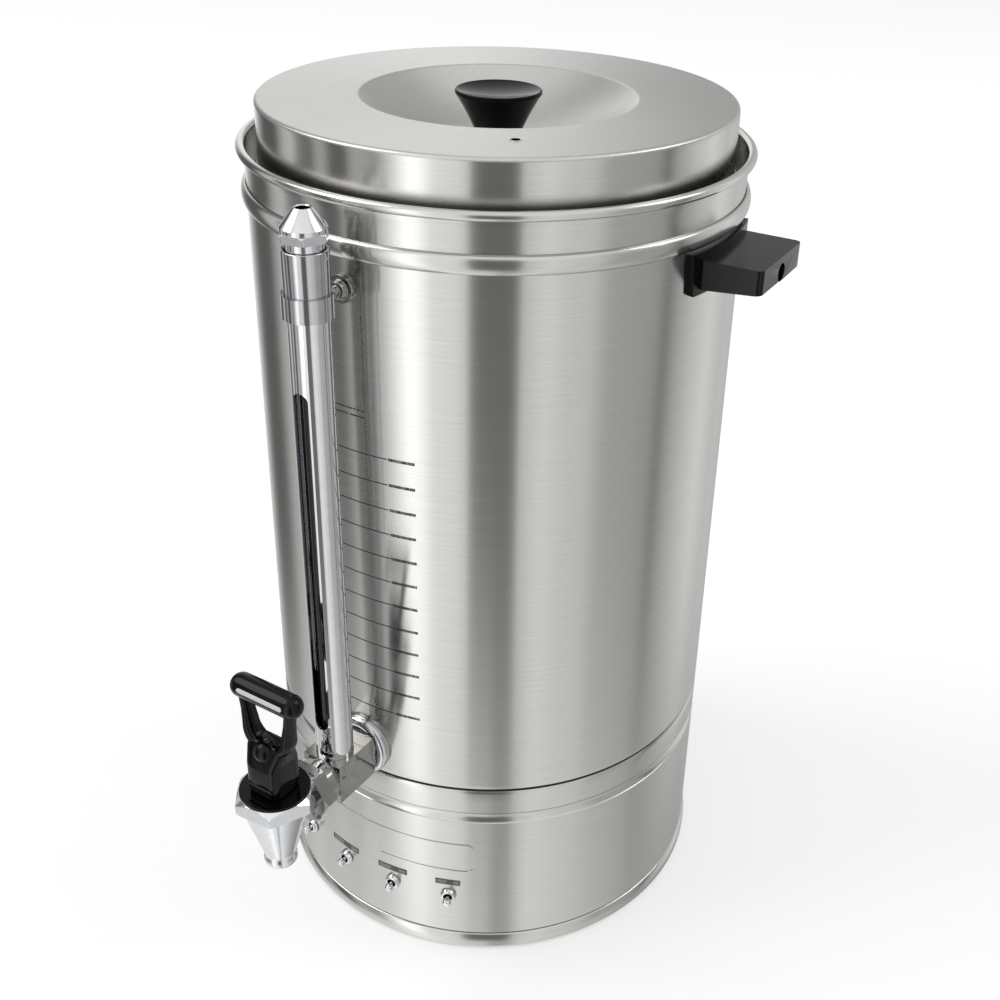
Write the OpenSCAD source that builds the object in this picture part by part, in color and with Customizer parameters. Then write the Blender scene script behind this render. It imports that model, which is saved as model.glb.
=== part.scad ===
// Insulated coffee urn: double-walled steel tank on an electric base, with a
// sight gauge, a lever tap, two side grips and a lift-off lid.
// Millimetres. +Z is up, the origin is on the urn's axis at the floor, and the
// tap points to -Y. Angles are measured from the tap, positive towards +X.

/* [Body] */
// Outer radius of the shell and of the base
body_r = 150; // [130:1:180]
// Thickness of the shell, skirt and tank sheet
sheet_t = 1.0; // [0.8:0.1:1.4]
// Height of the base, floor to seam
base_h = 140; // [125:1:170]
// Dark joint between base and shell
seam_gap = 1.6; // [1:0.1:3]
// Shell height, seam to the bead
shell_h = 346; // [300:1:400]
// Height of the bead round the shell's top
bead_h = 11; // [8:0.5:14]
// How far the bead stands proud
bead_out = 3.3; // [2:0.1:4.5]
// Collar height, bead to the middle of the rolled rim
collar_h = 20.7; // [16:0.1:28]
// Radius of the rolled rim's roll
rim_roll_r = 2.8; // [2:0.1:3.5]
// Insulation gap between tank and shell
wall_gap = 13; // [10:0.5:18]
// Radius of the fold at the tank's foot
tank_fold_r = 3.5; // [2.5:0.1:4]

/* [Base] */
// Height of the foot ring above the floor
ring_lift = 1.5; // [1:0.1:3]
// Top of the foot ring
ring_top = 13; // [11:0.5:16]
// Drop from the seam to the middle of the pressed groove
groove_drop = 22.6; // [18:0.1:35]
// Height of the pressed groove
groove_h = 9; // [6:0.5:12]
// Depth of the pressed groove
groove_in = 1.8; // [1:0.1:2.5]
// Height of the bottom plate above the floor
pan_z = 8; // [7:0.5:10]
// Radius of a rubber foot
foot_r = 11; // [8:0.5:14]
// Distance of the feet's middles from the base's side
foot_in = 28; // [22:1:45]
// Height of the row of switches
switch_z = 47.5; // [40:0.5:60]
// Angle between neighbouring switches
switch_step = 15.2; // [13:0.1:18]
// Angle a switch's lever hangs below level
switch_tilt = 16; // [12:1:17]
// Height of the power inlet
inlet_z = 44; // [36:1:60]

/* [Lid] */
// Step from the collar's outside to the lid's side
lid_gap = 7.8; // [7:0.1:14]
// Height of the lid above its ledge
lid_h = 48.7; // [42:0.1:56]
// Radius of the dish pressed into the lid
dish_r = 82.5; // [74:0.5:90]
// Depth of the dish
dish_d = 26.5; // [22:0.5:29]
// Radius of the dish's flat floor
dish_floor_r = 20; // [16:0.5:26]
// Radius of the knob's top
knob_top_r = 26; // [22:0.5:30]
// Radius of the knob's foot
knob_foot_r = 13; // [11:0.5:15]
// Height of the knob
knob_h = 29; // [26:0.5:34]
// Depth of the plug below the ledge
plug_d = 14; // [10:0.5:20]
// Distance of the vent from the lid's side
vent_in = 35.2; // [24:0.1:44]
// Angle of the vent
vent_angle = 38; // [0:1:359]

/* [Grips] */
// Angle of each side grip from the tap
grip_angle = 92; // [80:1:100]
// Drop from the bead to the top of the grips
grip_drop = 6.1; // [5:0.1:46]
// Width of a grip
grip_w = 70; // [56:1:86]
// Reach of a grip from the shell
grip_reach = 30.5; // [24:0.5:42]
// Thickness of a grip at its root
grip_root_h = 17.5; // [15:0.5:22]
// Thickness of a grip at its outer end
grip_tip_h = 14; // [12:0.5:16]
// Corner radius of a grip
grip_corner_r = 4; // [2:0.5:6]
// Half angle that a grip's saddle covers
saddle_half = 15.5; // [14:0.5:19]
// Thickness of the saddle
saddle_t = 3.6; // [2.5:0.1:5]
// Height of the saddle
saddle_h = 27; // [24:0.5:30]
// Radius of the screw hole in a grip
grip_hole_r = 4.6; // [4.2:0.1:5.5]

/* [Gauge] */
// Distance of the gauge from the shell
gauge_reach = 27; // [25:0.5:36]
// Height of the tap's waterway above the seam
outlet_up = 18.4; // [16:0.1:34]
// Width and height of the square block
block_w = 28; // [27:0.5:34]
// Outer radius of the gauge's shield tube
shield_r = 11.5; // [10:0.1:12]
// Wall of the shield tube
shield_t = 1.2; // [0.8:0.1:1.6]
// Width of the slot in the shield
slot_w = 10; // [6:0.5:12]
// Plain length of the shield below its slot
slot_foot = 23; // [12:0.5:46]
// Plain length of the shield between its slot and the clamp
slot_head = 40.5; // [24:0.5:80]
// Outer radius of the glass tube
glass_r = 7.5; // [6:0.1:8]
// Wall of the glass tube
glass_t = 1.3; // [1:0.1:2]
// Drop from the bead to the middle of the clamp
clamp_drop = 17.6; // [14:0.1:32]
// Height of the clamp band
clamp_h = 13; // [10:0.5:16]
// Thickness of the clamp band
clamp_t = 1.6; // [1:0.1:2]
// Height of the sleeve above the clamp
sleeve_h = 20; // [14:0.5:26]
// Height of the gauge's cap
cap_h = 20.5; // [17:0.5:26]
// Width across the flats of the cap
cap_af = 25.6; // [24:0.1:28]
// Radius of the dress ring at the shell
dress_r = 21; // [20:0.5:25]

/* [Tap] */
// Distance of the tap's axis from the gauge's axis
tap_reach = 54; // [51:0.5:62]
// Rise from the waterway to the top of the tap's hexagon
bonnet_up = 24; // [23:0.5:30]
// Height of the tap's hexagon
bonnet_h = 11.5; // [11:0.5:14]
// Width across the flats of the tap's hexagon
bonnet_af = 43; // [41:0.5:46]
// Drop from the waterway to the bottom of the spout
spout_drop = 33; // [30:0.5:42]
// Outer radius of the spout's lip
spout_r = 10; // [8.5:0.1:11]
// Radius of the spout's waterway
spout_bore_r = 6.5; // [5:0.1:7]
// Outer radius of the tap's tail
tail_r = 11; // [9.5:0.1:11.3]
// Width across the flats of the union nut
union_af = 34; // [33:0.5:38]
// Height of the lever's bar above the top of the hexagon
bar_up = 66; // [58:0.5:76]
// Radius of the lever's bar
bar_r = 6.7; // [5.5:0.1:7]
// Half length of the lever's bar between its round ends
bar_half = 19; // [18:0.5:26]
// Radius of the waterway
waterway_r = 5.5; // [4.5:0.1:6]
// Angle the lever turns through when it is pulled
lever_turn = 35; // [25:1:38]

/* [Fit] */
// Gap between parts that are fitted together
fit = 0.1; // [0.05:0.01:0.15]
// Gap round a part that moves
run = 0.3; // [0.2:0.05:0.4]

/* [Hidden] */
$fn = 96;
STEEL = "silver";
CHROME = "gainsboro";
BLACK = [0.06, 0.06, 0.065];
RUBBER = [0.12, 0.12, 0.12];
WHITE = "whitesmoke";
BRASS = "goldenrod";

// Heights up the body
shell_z = base_h + seam_gap;
bead_z = shell_z + shell_h;
bead_top_z = bead_z + bead_h;
ledge_z = bead_top_z - 1.6;
rim_z = bead_top_z + collar_h;
flange_in = 10;
tank_r = body_r - sheet_t - wall_gap - sheet_t;
tank_z = base_h + 6;
collar_r = body_r;
groove_z = base_h - groove_drop;
foot_reach = body_r - foot_in;
wall_cut = 12;
far = 900;

// Lid
lid_z = ledge_z + run;
lid_top_z = lid_z + lid_h;
lid_edge_r = 2.5;
lid_r = body_r - lid_gap;
vent_reach = lid_r - vent_in;
dish_z = lid_top_z - dish_d;
plug_r = tank_r - 2;
gasket_r = 0.8;
vent_r = 2.6;
vent_bore_r = 1.6;
knob_screw_r = 3;
knob_screw_in = 12;

// Gauge
gauge_y = -(body_r + gauge_reach);
outlet_z = shell_z + outlet_up;
clamp_z = bead_z - clamp_drop;
dress_t = 5;
block_z0 = outlet_z - block_w / 2;
block_z1 = outlet_z + block_w / 2;
block_back = body_r + dress_t - 0.5;
block_front = -gauge_y + block_w / 2 - 1;
slot_z0 = block_z1 + slot_foot;
slot_z1 = clamp_z - clamp_h / 2 - slot_head;
shield_seat_z = block_z1 - 6;
shield_top_z = clamp_z + clamp_h / 2;
glass_seat_z = shield_seat_z - 5;
sleeve_r = shield_r + 0.7;
sleeve_z0 = clamp_z - 2;
sleeve_z1 = shield_top_z + sleeve_h;
cap_neck_h = 4.5;
cap_neck_r = 9.5;
cap_z = sleeve_z1 + cap_neck_h;
cap_hex_h = 5;
cap_bore_r = 3.4;
glass_top_z = sleeve_z1 - 6;
nipple_r = 8;
nipple_in = 9;
tank_nut_r = 11;
tank_nut_t = 3;
clamp_in_r = sleeve_r + fit;
stud_r = 3.2;
stud_nut_r = 6;
stud_washer_r = 8.2;
stud_washer_t = 2;
spigot_r = 13;
spigot_l = 8;

// Tap
tap_y = gauge_y - tap_reach;
bonnet_z = outlet_z + bonnet_up;
spout_z = outlet_z - spout_drop;
bonnet_z0 = bonnet_z - bonnet_h;
thread_r = 17;
thread_top = bonnet_z - 4;
cone_foot_z = spout_z + 9;
chamber_r = 11.5;
seat_z = outlet_z - 10;
spout_neck_r = spout_bore_r + 1.4;
chamber_z = seat_z + 2;
tap_cap_r = bonnet_af / 2 - 0.7;
tap_cap_top = bonnet_z + 1;
cone_top_r = 19;
foot_half = 11;
foot_drop = 8.5;
lever_half = 11.5;
lever_deep = 12;
yoke_z = 25.5;
pin_z = tap_cap_top + run + foot_drop;
pin_r = 2;
stem_r = 3;
stem_flat = 6;
stem_eye_r = 4.6;
bar_z = bonnet_z + bar_up;
cup_z = seat_z + 2.2;
cup_h = 6;
spring_z0 = cup_z + cup_h + 0.4;
spring_z1 = thread_top - 0.4;
spring_r = 7.5;
spring_wire_r = 0.7;
spring_turns = 5;
union_back = block_front + 3;
union_l = 16;
union_hex_l = 10;
tail_end = block_front + spigot_l + 2;
tail_flange_t = 3;
insert_w = 3.4;
insert_t = 1.2;
insert_half = bar_half - 2;
insert_tilt = -6;

// Base
plate_t = 1.2;
heater_r = 90;
heater_t = 3;
heater_z = tank_z - sheet_t - heater_t - fit;
element_r = 68;
element_tube_r = 3.4;
element_drop = 22;
stud_rod_r = 4;
switch_bush_r = 3.6;
switch_bore_r = 2.9;
switch_pivot = 1;
switch_pin_r = 1.8;
switch_nut_r = 5.3;
switch_nut_t = 3;
switch_neck_r = 1.6;
switch_tip_r = 2.8;
switch_lever_l = 9.5;
pad_r = 13;
inlet_w = 28;
inlet_h = 22;
inlet_d = 24;
inlet_lip = 3;
inlet_wall = 2.4;
inlet_well = 15;
pin_pitch = 7;

// Grips
grip_top_z = bead_z - grip_drop;
saddle_rise = 4.5;
saddle_z0 = grip_top_z + saddle_rise - saddle_h;
grip_seat_r = body_r + saddle_t;
grip_screw_r = 2.5;
grip_head_r = grip_hole_r - run;
grip_hole_z = grip_top_z - grip_root_h / 2 - 0.5;
grip_web = 9;

// Points of an arc about c, from angle a0 to a1
function arc(c, r, a0, a1, n = 8) =
  [for (i = [0:n]) let (a = a0 + (a1 - a0) * i / n) [c[0] + r * cos(a), c[1] + r * sin(a)]];

// Outline of a rectangle about the origin with round corners
function round_rect(w, h, r, n = 5) = concat(
  arc([w / 2 - r, h / 2 - r], r, 0, 90, n), arc([-w / 2 + r, h / 2 - r], r, 90, 180, n),
  arc([-w / 2 + r, -h / 2 + r], r, 180, 270, n), arc([w / 2 - r, -h / 2 + r], r, 270, 360, n));

// Places a child, which points up, on the body at an angle, pointing outwards
module outward(angle, r, z)
  rotate([0, 0, angle]) translate([0, -r, z]) rotate([90, 0, 0]) children();

// Places a child on the tap's axis
module at_tap() translate([0, tap_y, 0]) children();

// Ring of rectangular section
module ring(r0, r1, z0, z1)
  translate([0, 0, z0]) difference() {
    cylinder(r = r1, h = z1 - z0);
    translate([0, 0, -1]) cylinder(r = r0, h = z1 - z0 + 2);
  }

// Hexagonal prism with its flats at the front and the back
module hex(af, h) cylinder(r = af / 2 / cos(30), h = h, $fn = 6);

// ---- Body ----

// Outline of the bead, pushed in by the distance t
function bead_curve(t) =
  [for (a = [0:15:150]) [body_r - t + bead_out * sin(a), bead_z + bead_h * (1 - cos(a)) / 2]];

module outer_shell() {
  inner = bead_curve(sheet_t);
  color(STEEL) difference() {
    rotate_extrude() polygon(concat(
      [[body_r - flange_in, shell_z], [body_r, shell_z]], bead_curve(0),
      [for (i = [len(inner) - 1:-1:0]) inner[i]],
      [[body_r - sheet_t, shell_z + sheet_t], [body_r - flange_in, shell_z + sheet_t]]));
    outward(0, body_r - wall_cut / 2, outlet_z) cylinder(r = nipple_r + fit, h = wall_cut);
    outward(0, body_r - wall_cut / 2, clamp_z) cylinder(r = stud_r + fit, h = wall_cut);
    for (a = [-grip_angle, grip_angle])
      outward(a, body_r - wall_cut / 2, grip_hole_z) cylinder(r = grip_screw_r + fit, h = wall_cut);
  }
}

// Tank cup with a folded foot; its wall carries the collar
module inner_tank() {
  r = tank_r;
  t = sheet_t;
  f = tank_fold_r;
  color(STEEL) difference() {
    rotate_extrude() polygon(concat(
      [[0, tank_z - t]], arc([r - f, tank_z + f], f + t, -90, 0),
      [[r + t, ledge_z - t], [r, ledge_z - t]],
      arc([r - f, tank_z + f], f, 0, -90), [[0, tank_z]]));
    outward(0, r - wall_cut / 2, outlet_z) cylinder(r = nipple_r + fit, h = wall_cut);
  }
}

// Ledge for the lid, and the collar above it with its rolled rim
module tank_collar() {
  t = sheet_t;
  color(STEEL) rotate_extrude() union() {
    polygon([[tank_r, ledge_z - t], [collar_r, ledge_z - t], [collar_r, rim_z], [collar_r - t, rim_z],
      [collar_r - t, ledge_z], [tank_r, ledge_z]]);
    translate([collar_r - t + rim_roll_r, rim_z]) circle(r = rim_roll_r);
  }
}

module tank_insulation() {
  r0 = tank_r + sheet_t + run;
  r1 = body_r - sheet_t - run;
  color("khaki") difference() {
    ring(r0, r1, shell_z + sheet_t + run, ledge_z - sheet_t - run);
    outward(0, r0 - 4, outlet_z) cylinder(r = tank_nut_r + 2, h = wall_gap + 8);
    outward(0, r0 - 4, clamp_z) cylinder(r = stud_nut_r + 2, h = wall_gap + 8);
    for (a = [-grip_angle, grip_angle])
      outward(a, r0 - 4, grip_hole_z) cylinder(r = 8, h = wall_gap + 8);
  }
}

module seam_gasket()
  color(RUBBER) ring(body_r - flange_in, body_r - 1.2, base_h, shell_z);

// ---- Base ----

module base_skirt() {
  t = sheet_t;
  g = groove_h / 2;
  outer = [for (a = [0:20:180]) [body_r - groove_in * sin(a), groove_z - g * cos(a)]];
  color(STEEL) difference() {
    rotate_extrude() polygon(concat(
      [[body_r - t, ring_top], [body_r, ring_top]], outer,
      [[body_r, base_h], [body_r - flange_in, base_h], [body_r - flange_in, base_h - t],
       [body_r - t, base_h - t]],
      [for (i = [len(outer) - 1:-1:0]) outer[i] - [t, 0]]));
    for (i = [-1.5:1:1.5])
      outward(i * switch_step, body_r - wall_cut / 2, switch_z) cylinder(r = switch_bush_r + fit, h = wall_cut);
    outward(180, body_r - wall_cut / 2, inlet_z)
      translate([-inlet_w / 2, -inlet_h / 2, 0]) cube([inlet_w, inlet_h, wall_cut]);
  }
}

module base_pan() {
  t = plate_t;
  lip = 1;
  color(STEEL) difference() {
    rotate_extrude() polygon([
      [stud_rod_r + fit, pan_z], [body_r - 6, pan_z], [body_r - 4, ring_lift], [body_r - 1, ring_lift],
      [body_r, ring_lift + 1], [body_r, ring_top - 4], [body_r - lip, ring_top - 3.4],
      [body_r - lip, ring_top - fit], [body_r - sheet_t - fit, ring_top - fit],
      [body_r - sheet_t - fit, ring_top + 8], [body_r - sheet_t - fit - t, ring_top + 8],
      [body_r - sheet_t - fit - t, pan_z + t], [stud_rod_r + fit, pan_z + t]]);
    for (a = [0:30:330], k = [0:1])
      rotate([0, 0, a + 15]) translate([52 + 22 * k, -2, pan_z - 1]) cube([14, 4, t + 2]);
  }
}

module feet()
  color(RUBBER) for (a = [45:90:315])
    rotate([0, 0, a]) translate([0, -foot_reach, 0]) {
      cylinder(r1 = foot_r - 1, r2 = foot_r, h = 2);
      translate([0, 0, 2]) cylinder(r = foot_r, h = pan_z - 2);
    }

module heater_plate()
  color("silver") translate([0, 0, heater_z]) cylinder(r = heater_r, h = heater_t);

module heating_element() {
  z = heater_z - element_tube_r - fit;
  color("dimgray") {
    rotate([0, 0, 105]) rotate_extrude(angle = 330) translate([element_r, z]) circle(r = element_tube_r);
    for (s = [0, 330])
      rotate([0, 0, 105 + s]) translate([element_r, 0, z - element_drop]) cylinder(r = element_tube_r, h = element_drop);
  }
}

module thermostat()
  color("whitesmoke") translate([30, -20, heater_z - fit]) {
    translate([0, 0, -8]) cylinder(r = 11, h = 8);
    translate([-3, -8, -14]) cube([6, 16, 6.5]);
  }

module thermal_cutout()
  color("gold") translate([-30, -20, heater_z - fit]) {
    translate([0, 0, -6]) cylinder(r = 8, h = 6);
    translate([-2, -6, -11]) cube([4, 12, 5.5]);
  }

module centre_stud()
  color("silver") translate([0, 0, pan_z - 5.5]) cylinder(r = stud_rod_r, h = heater_z - fit - pan_z + 5.5);

module pan_nut() {
  color("silver") translate([0, 0, pan_z - 5]) difference() {
    union() {
      hex(13, 3.8);
      translate([0, 0, 3.8]) cylinder(r = 9, h = 1.2);
    }
    translate([0, 0, -1]) cylinder(r = stud_rod_r + fit / 2, h = 8);
  }
}

// Rubber pad over the centre nut: the middle of what the urn stands on
module centre_pad()
  color(RUBBER) difference() {
    cylinder(r = pad_r, h = pan_z);
    translate([0, 0, pan_z - 5 - 2 * fit]) cylinder(r = 9 + fit, h = 6);
    translate([0, 0, pan_z - 5.5 - 2 * fit]) cylinder(r = stud_rod_r + fit, h = 6);
  }

module terminal_block() {
  color("ivory") translate([-24, 62, pan_z + plate_t + fit]) difference() {
    cube([48, 18, 16]);
    for (i = [0:3]) translate([6 + 12 * i, -1, 9]) rotate([-90, 0, 0]) cylinder(r = 2.2, h = 20);
    for (i = [0:2]) translate([11.5 + 12 * i, -1, 12]) cube([1, 20, 5]);
  }
}

module inlet_socket()
  color(BLACK) outward(180, body_r, inlet_z) difference() {
    union() {
      translate([-inlet_w / 2 + fit, -inlet_h / 2 + fit, -inlet_d])
        cube([inlet_w - 2 * fit, inlet_h - 2 * fit, inlet_d + 0.5]);
      translate([0, 0, 0.5]) linear_extrude(inlet_lip)
        polygon(round_rect(inlet_w + 8, inlet_h + 8, 3));
    }
    translate([-inlet_w / 2 + inlet_wall, -inlet_h / 2 + inlet_wall, inlet_lip - inlet_well])
      cube([inlet_w - 2 * inlet_wall, inlet_h - 2 * inlet_wall, inlet_well + 2]);
    for (i = [-1:1]) translate([pin_pitch * i, abs(i) * -3 + 2, -inlet_d - 1])
      translate([-1.1, -2.1, 0]) cube([2.2, 4.2, inlet_d]);
  }

module inlet_pins()
  color(BRASS) outward(180, body_r, inlet_z)
    for (i = [-1:1]) translate([pin_pitch * i, abs(i) * -3 + 2, -inlet_d - 7])
      translate([-1, -2, 0]) cube([2, 4, inlet_d + 7 - inlet_well + inlet_lip + 8]);

module switch_bodies()
  color(BLACK) for (i = [-1.5:1:1.5])
    outward(i * switch_step, body_r, switch_z) difference() {
      union() {
        translate([-4, -6.5, -sheet_t - 14]) cube([8, 13, 13.4]);
        translate([0, 0, -sheet_t - 1.6]) cylinder(r = switch_bush_r, h = sheet_t + 1.6 + switch_nut_t - 0.6);
        for (k = [-1:1]) translate([-0.5, 4 * k - 1, -sheet_t - 19]) cube([1, 2, 6]);
      }
      translate([0, 0, -3]) cylinder(r = switch_bore_r, h = 4 + switch_nut_t);
    }

// Round dress nuts with a lip over the end of each bush
module switch_nuts()
  color(CHROME) for (i = [-1.5:1:1.5])
    outward(i * switch_step, body_r + 0.2, switch_z) difference() {
      rotate_extrude() polygon(concat([[0, 0], [switch_nut_r, 0], [switch_nut_r, 1]],
        arc([switch_nut_r - 1.5, switch_nut_t - 1], 1, 0, 90, 5), [[0, switch_nut_t]]));
      translate([0, 0, -1]) cylinder(r = switch_bush_r + fit / 2, h = switch_nut_t + 0.3 + fit);
      translate([0, 0, -1]) cylinder(r = switch_bore_r + 0.1, h = switch_nut_t + 2);
    }

// Stub lever of one switch, hanging at its lower stop and turning on a cross pin
module switch_lever(i)
  color(CHROME) outward((i - 2.5) * switch_step, body_r + switch_pivot, switch_z)
    rotate([switch_tilt, 0, 0]) {
      translate([-1.85, 0, 0]) rotate([0, 90, 0]) cylinder(r = switch_pin_r, h = 3.7);
      rotate_extrude() polygon(concat([[0, 0], [switch_neck_r, 0], [switch_neck_r, 3.6], [switch_tip_r - 0.4, 4.4]],
        arc([switch_tip_r - 1.6, switch_lever_l - 0.4], 1.6, 0, 90, 6), [[0, switch_lever_l + 1.2]]));
    }

// ---- Outlet and gauge ----

module tank_nipple() {
  back = tank_r - tank_nut_t - 4;
  l = block_back + nipple_in - back;
  color(BRASS) outward(0, back, outlet_z) difference() {
    cylinder(r = nipple_r, h = l);
    translate([0, 0, -1]) cylinder(r = waterway_r, h = l + 2);
  }
}

module tank_nut()
  color(BRASS) outward(0, tank_r - tank_nut_t - 0.9, outlet_z) difference() {
    cylinder(r = tank_nut_r, h = tank_nut_t);
    translate([0, 0, -1]) cylinder(r = nipple_r + fit / 2, h = tank_nut_t + 2);
  }

// Rounded dress ring, hollowed at the back to sit on the curved shell
module dress_ring()
  color(CHROME) difference() {
    outward(0, body_r - 3, outlet_z) rotate_extrude()
      polygon(concat([[nipple_r + fit, 0], [dress_r, 0]], arc([dress_r - 4, 3 + dress_t - 4], 4, 0, 110, 7),
        [[spigot_r + 1, dress_t + 1.8], [nipple_r + fit, dress_t + 1.8]]));
    cylinder(r = body_r + fit, h = far, $fn = 360);
  }

module gauge_block() {
  y0 = block_back;
  y1 = block_front;
  color(CHROME) difference() {
    union() {
      intersection() {
        outward(0, y0, outlet_z) linear_extrude(y1 - y0)
          square([block_w, block_w], center = true);
        outward(0, y0, outlet_z)
          cylinder(r1 = block_w * 0.5 + 0.5, r2 = block_w * 0.5 + 0.5 + 2 * (y1 - y0), h = y1 - y0);
      }
      outward(0, y1 - 0.5, outlet_z) cylinder(r = spigot_r + 1.2, h = 2.6);
      outward(0, y1 - 0.5, outlet_z) cylinder(r = spigot_r, h = spigot_l + 0.5);
    }
    outward(0, y0 - 1, outlet_z) cylinder(r = waterway_r, h = y1 + spigot_l - y0 + 2);
    outward(0, y0 - 1, outlet_z) cylinder(r = nipple_r + fit / 2, h = nipple_in + 1 + fit);
    translate([0, gauge_y, outlet_z]) cylinder(r = 4, h = block_w);
    translate([0, gauge_y, glass_seat_z]) cylinder(r = glass_r + 2, h = block_w);
    translate([0, gauge_y, shield_seat_z]) cylinder(r = shield_r + fit, h = block_w);
  }
}

module gauge_shield() {
  ri = shield_r - shield_t;
  color(CHROME) difference() {
    translate([0, gauge_y, 0]) ring(ri, shield_r, shield_seat_z + fit, shield_top_z);
    translate([-slot_w / 2, gauge_y - shield_r - 1, slot_z0 + slot_w / 2])
      cube([slot_w, shield_r + 1, slot_z1 - slot_z0 - slot_w]);
    for (z = [slot_z0 + slot_w / 2, slot_z1 - slot_w / 2])
      translate([0, gauge_y, z]) rotate([90, 0, 0]) cylinder(r = slot_w / 2, h = shield_r + 1);
  }
}

module gauge_glass()
  color([0.75, 0.85, 0.85, 0.4]) translate([0, gauge_y, 0])
    ring(glass_r - glass_t, glass_r, glass_seat_z + fit, glass_top_z);

// Packing rings at both ends of the glass
module glass_seals()
  color(RUBBER) translate([0, gauge_y, 0]) {
    ring(glass_r + fit / 2, glass_r + 2 - fit / 2, glass_seat_z + fit, shield_seat_z - fit);
    ring(glass_r + fit / 2, cap_neck_r, glass_top_z - 9, glass_top_z - 5);
  }

// Sleeve that closes the top of the shield and carries the cap's thread
module gauge_sleeve()
  color(CHROME) translate([0, gauge_y, 0]) difference() {
    cylinder_between(sleeve_r, sleeve_z0, sleeve_z1);
    cylinder_between(shield_r + fit / 2, sleeve_z0 - 1, shield_top_z + fit);
    cylinder_between(cap_neck_r + fit, shield_top_z - 1, sleeve_z1 + 1);
  }

module cylinder_between(r, z0, z1) translate([0, 0, z0]) cylinder(r = r, h = z1 - z0);

// Hexagonal cap with a conical top and a vent down its middle
module gauge_cap() {
  top_r = 5;
  cone_r = cap_af / 2 - 0.3;
  color(CHROME) translate([0, gauge_y, 0]) difference() {
    union() {
      cylinder_between(cap_neck_r, sleeve_z1 - 4, cap_z + 1);
      rotate([0, 0, 10]) translate([0, 0, cap_z]) intersection() {
        rotate([0, 0, 30]) hex(cap_af, cap_hex_h);
        cylinder(r1 = cap_af / 2 + 0.4, r2 = cap_af / 2 + 3, h = cap_hex_h);
      }
      cylinder_between(cone_r, cap_z + cap_hex_h - 0.5, cap_z + cap_hex_h + 1.6);
      translate([0, 0, cap_z + cap_hex_h + 1.6])
        cylinder(r1 = cone_r, r2 = top_r, h = cap_h - cap_hex_h - 1.6);
    }
    cylinder_between(cap_bore_r, glass_top_z - 2, cap_z + cap_h + 1);
    cylinder_between(glass_r + 0.6, sleeve_z1 - 9, glass_top_z + 4);
  }
}

// Split band round the sleeve, with an eye for the stud at its back
module gauge_clamp() {
  r1 = clamp_in_r + clamp_t;
  color(CHROME) difference() {
    union() {
      translate([0, gauge_y, 0]) cylinder_between(r1, clamp_z - clamp_h / 2, clamp_z + clamp_h / 2);
      outward(0, -gauge_y - r1 - 1.5, clamp_z) cylinder(r = stud_r + 2.2, h = 5);
    }
    translate([0, gauge_y, 0]) cylinder_between(clamp_in_r, clamp_z - 9, clamp_z + 9);
    outward(0, -gauge_y - r1 - 4, clamp_z) cylinder(r = stud_r + fit / 2, h = 4);
  }
}

// Stud from the shell to the clamp, with its washer, collar and inner nut
module clamp_stud() {
  tip = -gauge_y - clamp_in_r - clamp_t - fit;
  color(CHROME) {
    outward(0, body_r - 7, clamp_z) cylinder(r = stud_r, h = tip - body_r + 7);
    difference() {
      union() {
        outward(0, body_r - 1, clamp_z) cylinder(r = stud_washer_r, h = 1 + stud_washer_t);
        outward(0, body_r + 1, clamp_z) cylinder(r1 = stud_nut_r, r2 = stud_nut_r - 1.2, h = 4);
      }
      cylinder(r = body_r + fit, h = far, $fn = 360);
    }
    outward(0, body_r - sheet_t - 3.4, clamp_z) cylinder(r = stud_nut_r, h = 2.6, $fn = 6);
  }
}

// ---- Tap ----

module tap_body() {
  tail = -tap_y - tail_end;
  color(CHROME) difference() {
    union() {
      at_tap() rotate_extrude() polygon([[0, cone_foot_z + fit],
        [spout_r - 0.9, cone_foot_z + fit], [spout_r - 0.6, cone_foot_z + 2], [cone_top_r, bonnet_z0 - 1.2],
        [cone_top_r - 0.6, bonnet_z0 - fit], [thread_r, bonnet_z0 - fit], [thread_r, thread_top], [0, thread_top]]);
      outward(0, tail_end, outlet_z) cylinder(r = tail_r, h = tail);
      outward(0, tail_end, outlet_z) cylinder(r = spigot_r, h = tail_flange_t);
    }
    at_tap() cylinder_between(spout_neck_r + fit / 2, cone_foot_z - 1, seat_z + 3);
    at_tap() cylinder_between(chamber_r, chamber_z, thread_top + 1);
    outward(0, tail_end - 1, outlet_z) cylinder(r = waterway_r, h = tail + 1);
  }
}

// Turned spout that screws up into the body and carries the valve's seat at its top
module tap_spout()
  color(CHROME) at_tap() rotate_extrude() polygon([
    [spout_bore_r, spout_z], [spout_r - 0.6, spout_z], [spout_r, spout_z + 0.8], [spout_r, cone_foot_z - 1.5],
    [spout_r - 0.9, cone_foot_z], [spout_neck_r, cone_foot_z], [spout_neck_r, seat_z], [spout_bore_r, seat_z]]);

// Union nut that draws the tap onto the block
module union_nut() {
  shoulder = union_l - (tail_end + tail_flange_t + fit - union_back);
  color(CHROME) outward(0, union_back, outlet_z) difference() {
    union() {
      cylinder(r = union_af / 2 - 0.8, h = union_l - union_hex_l);
      translate([0, 0, union_l - union_hex_l]) intersection() {
        hex(union_af, union_hex_l);
        cylinder(r1 = union_af / 2 + union_hex_l + 0.6, r2 = union_af / 2 + 0.6, h = union_hex_l);
      }
    }
    translate([0, 0, -1]) cylinder(r = spigot_r + fit, h = union_l - shoulder + 1);
    cylinder(r = tail_r + fit, h = union_l + 1);
  }
}

module union_seal()
  color(RUBBER) outward(0, block_front + spigot_l + fit, outlet_z) difference() {
    cylinder(r = spigot_r - 1, h = tail_end - block_front - spigot_l - 2 * fit);
    translate([0, 0, -1]) cylinder(r = waterway_r + 0.5, h = 6);
  }

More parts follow.
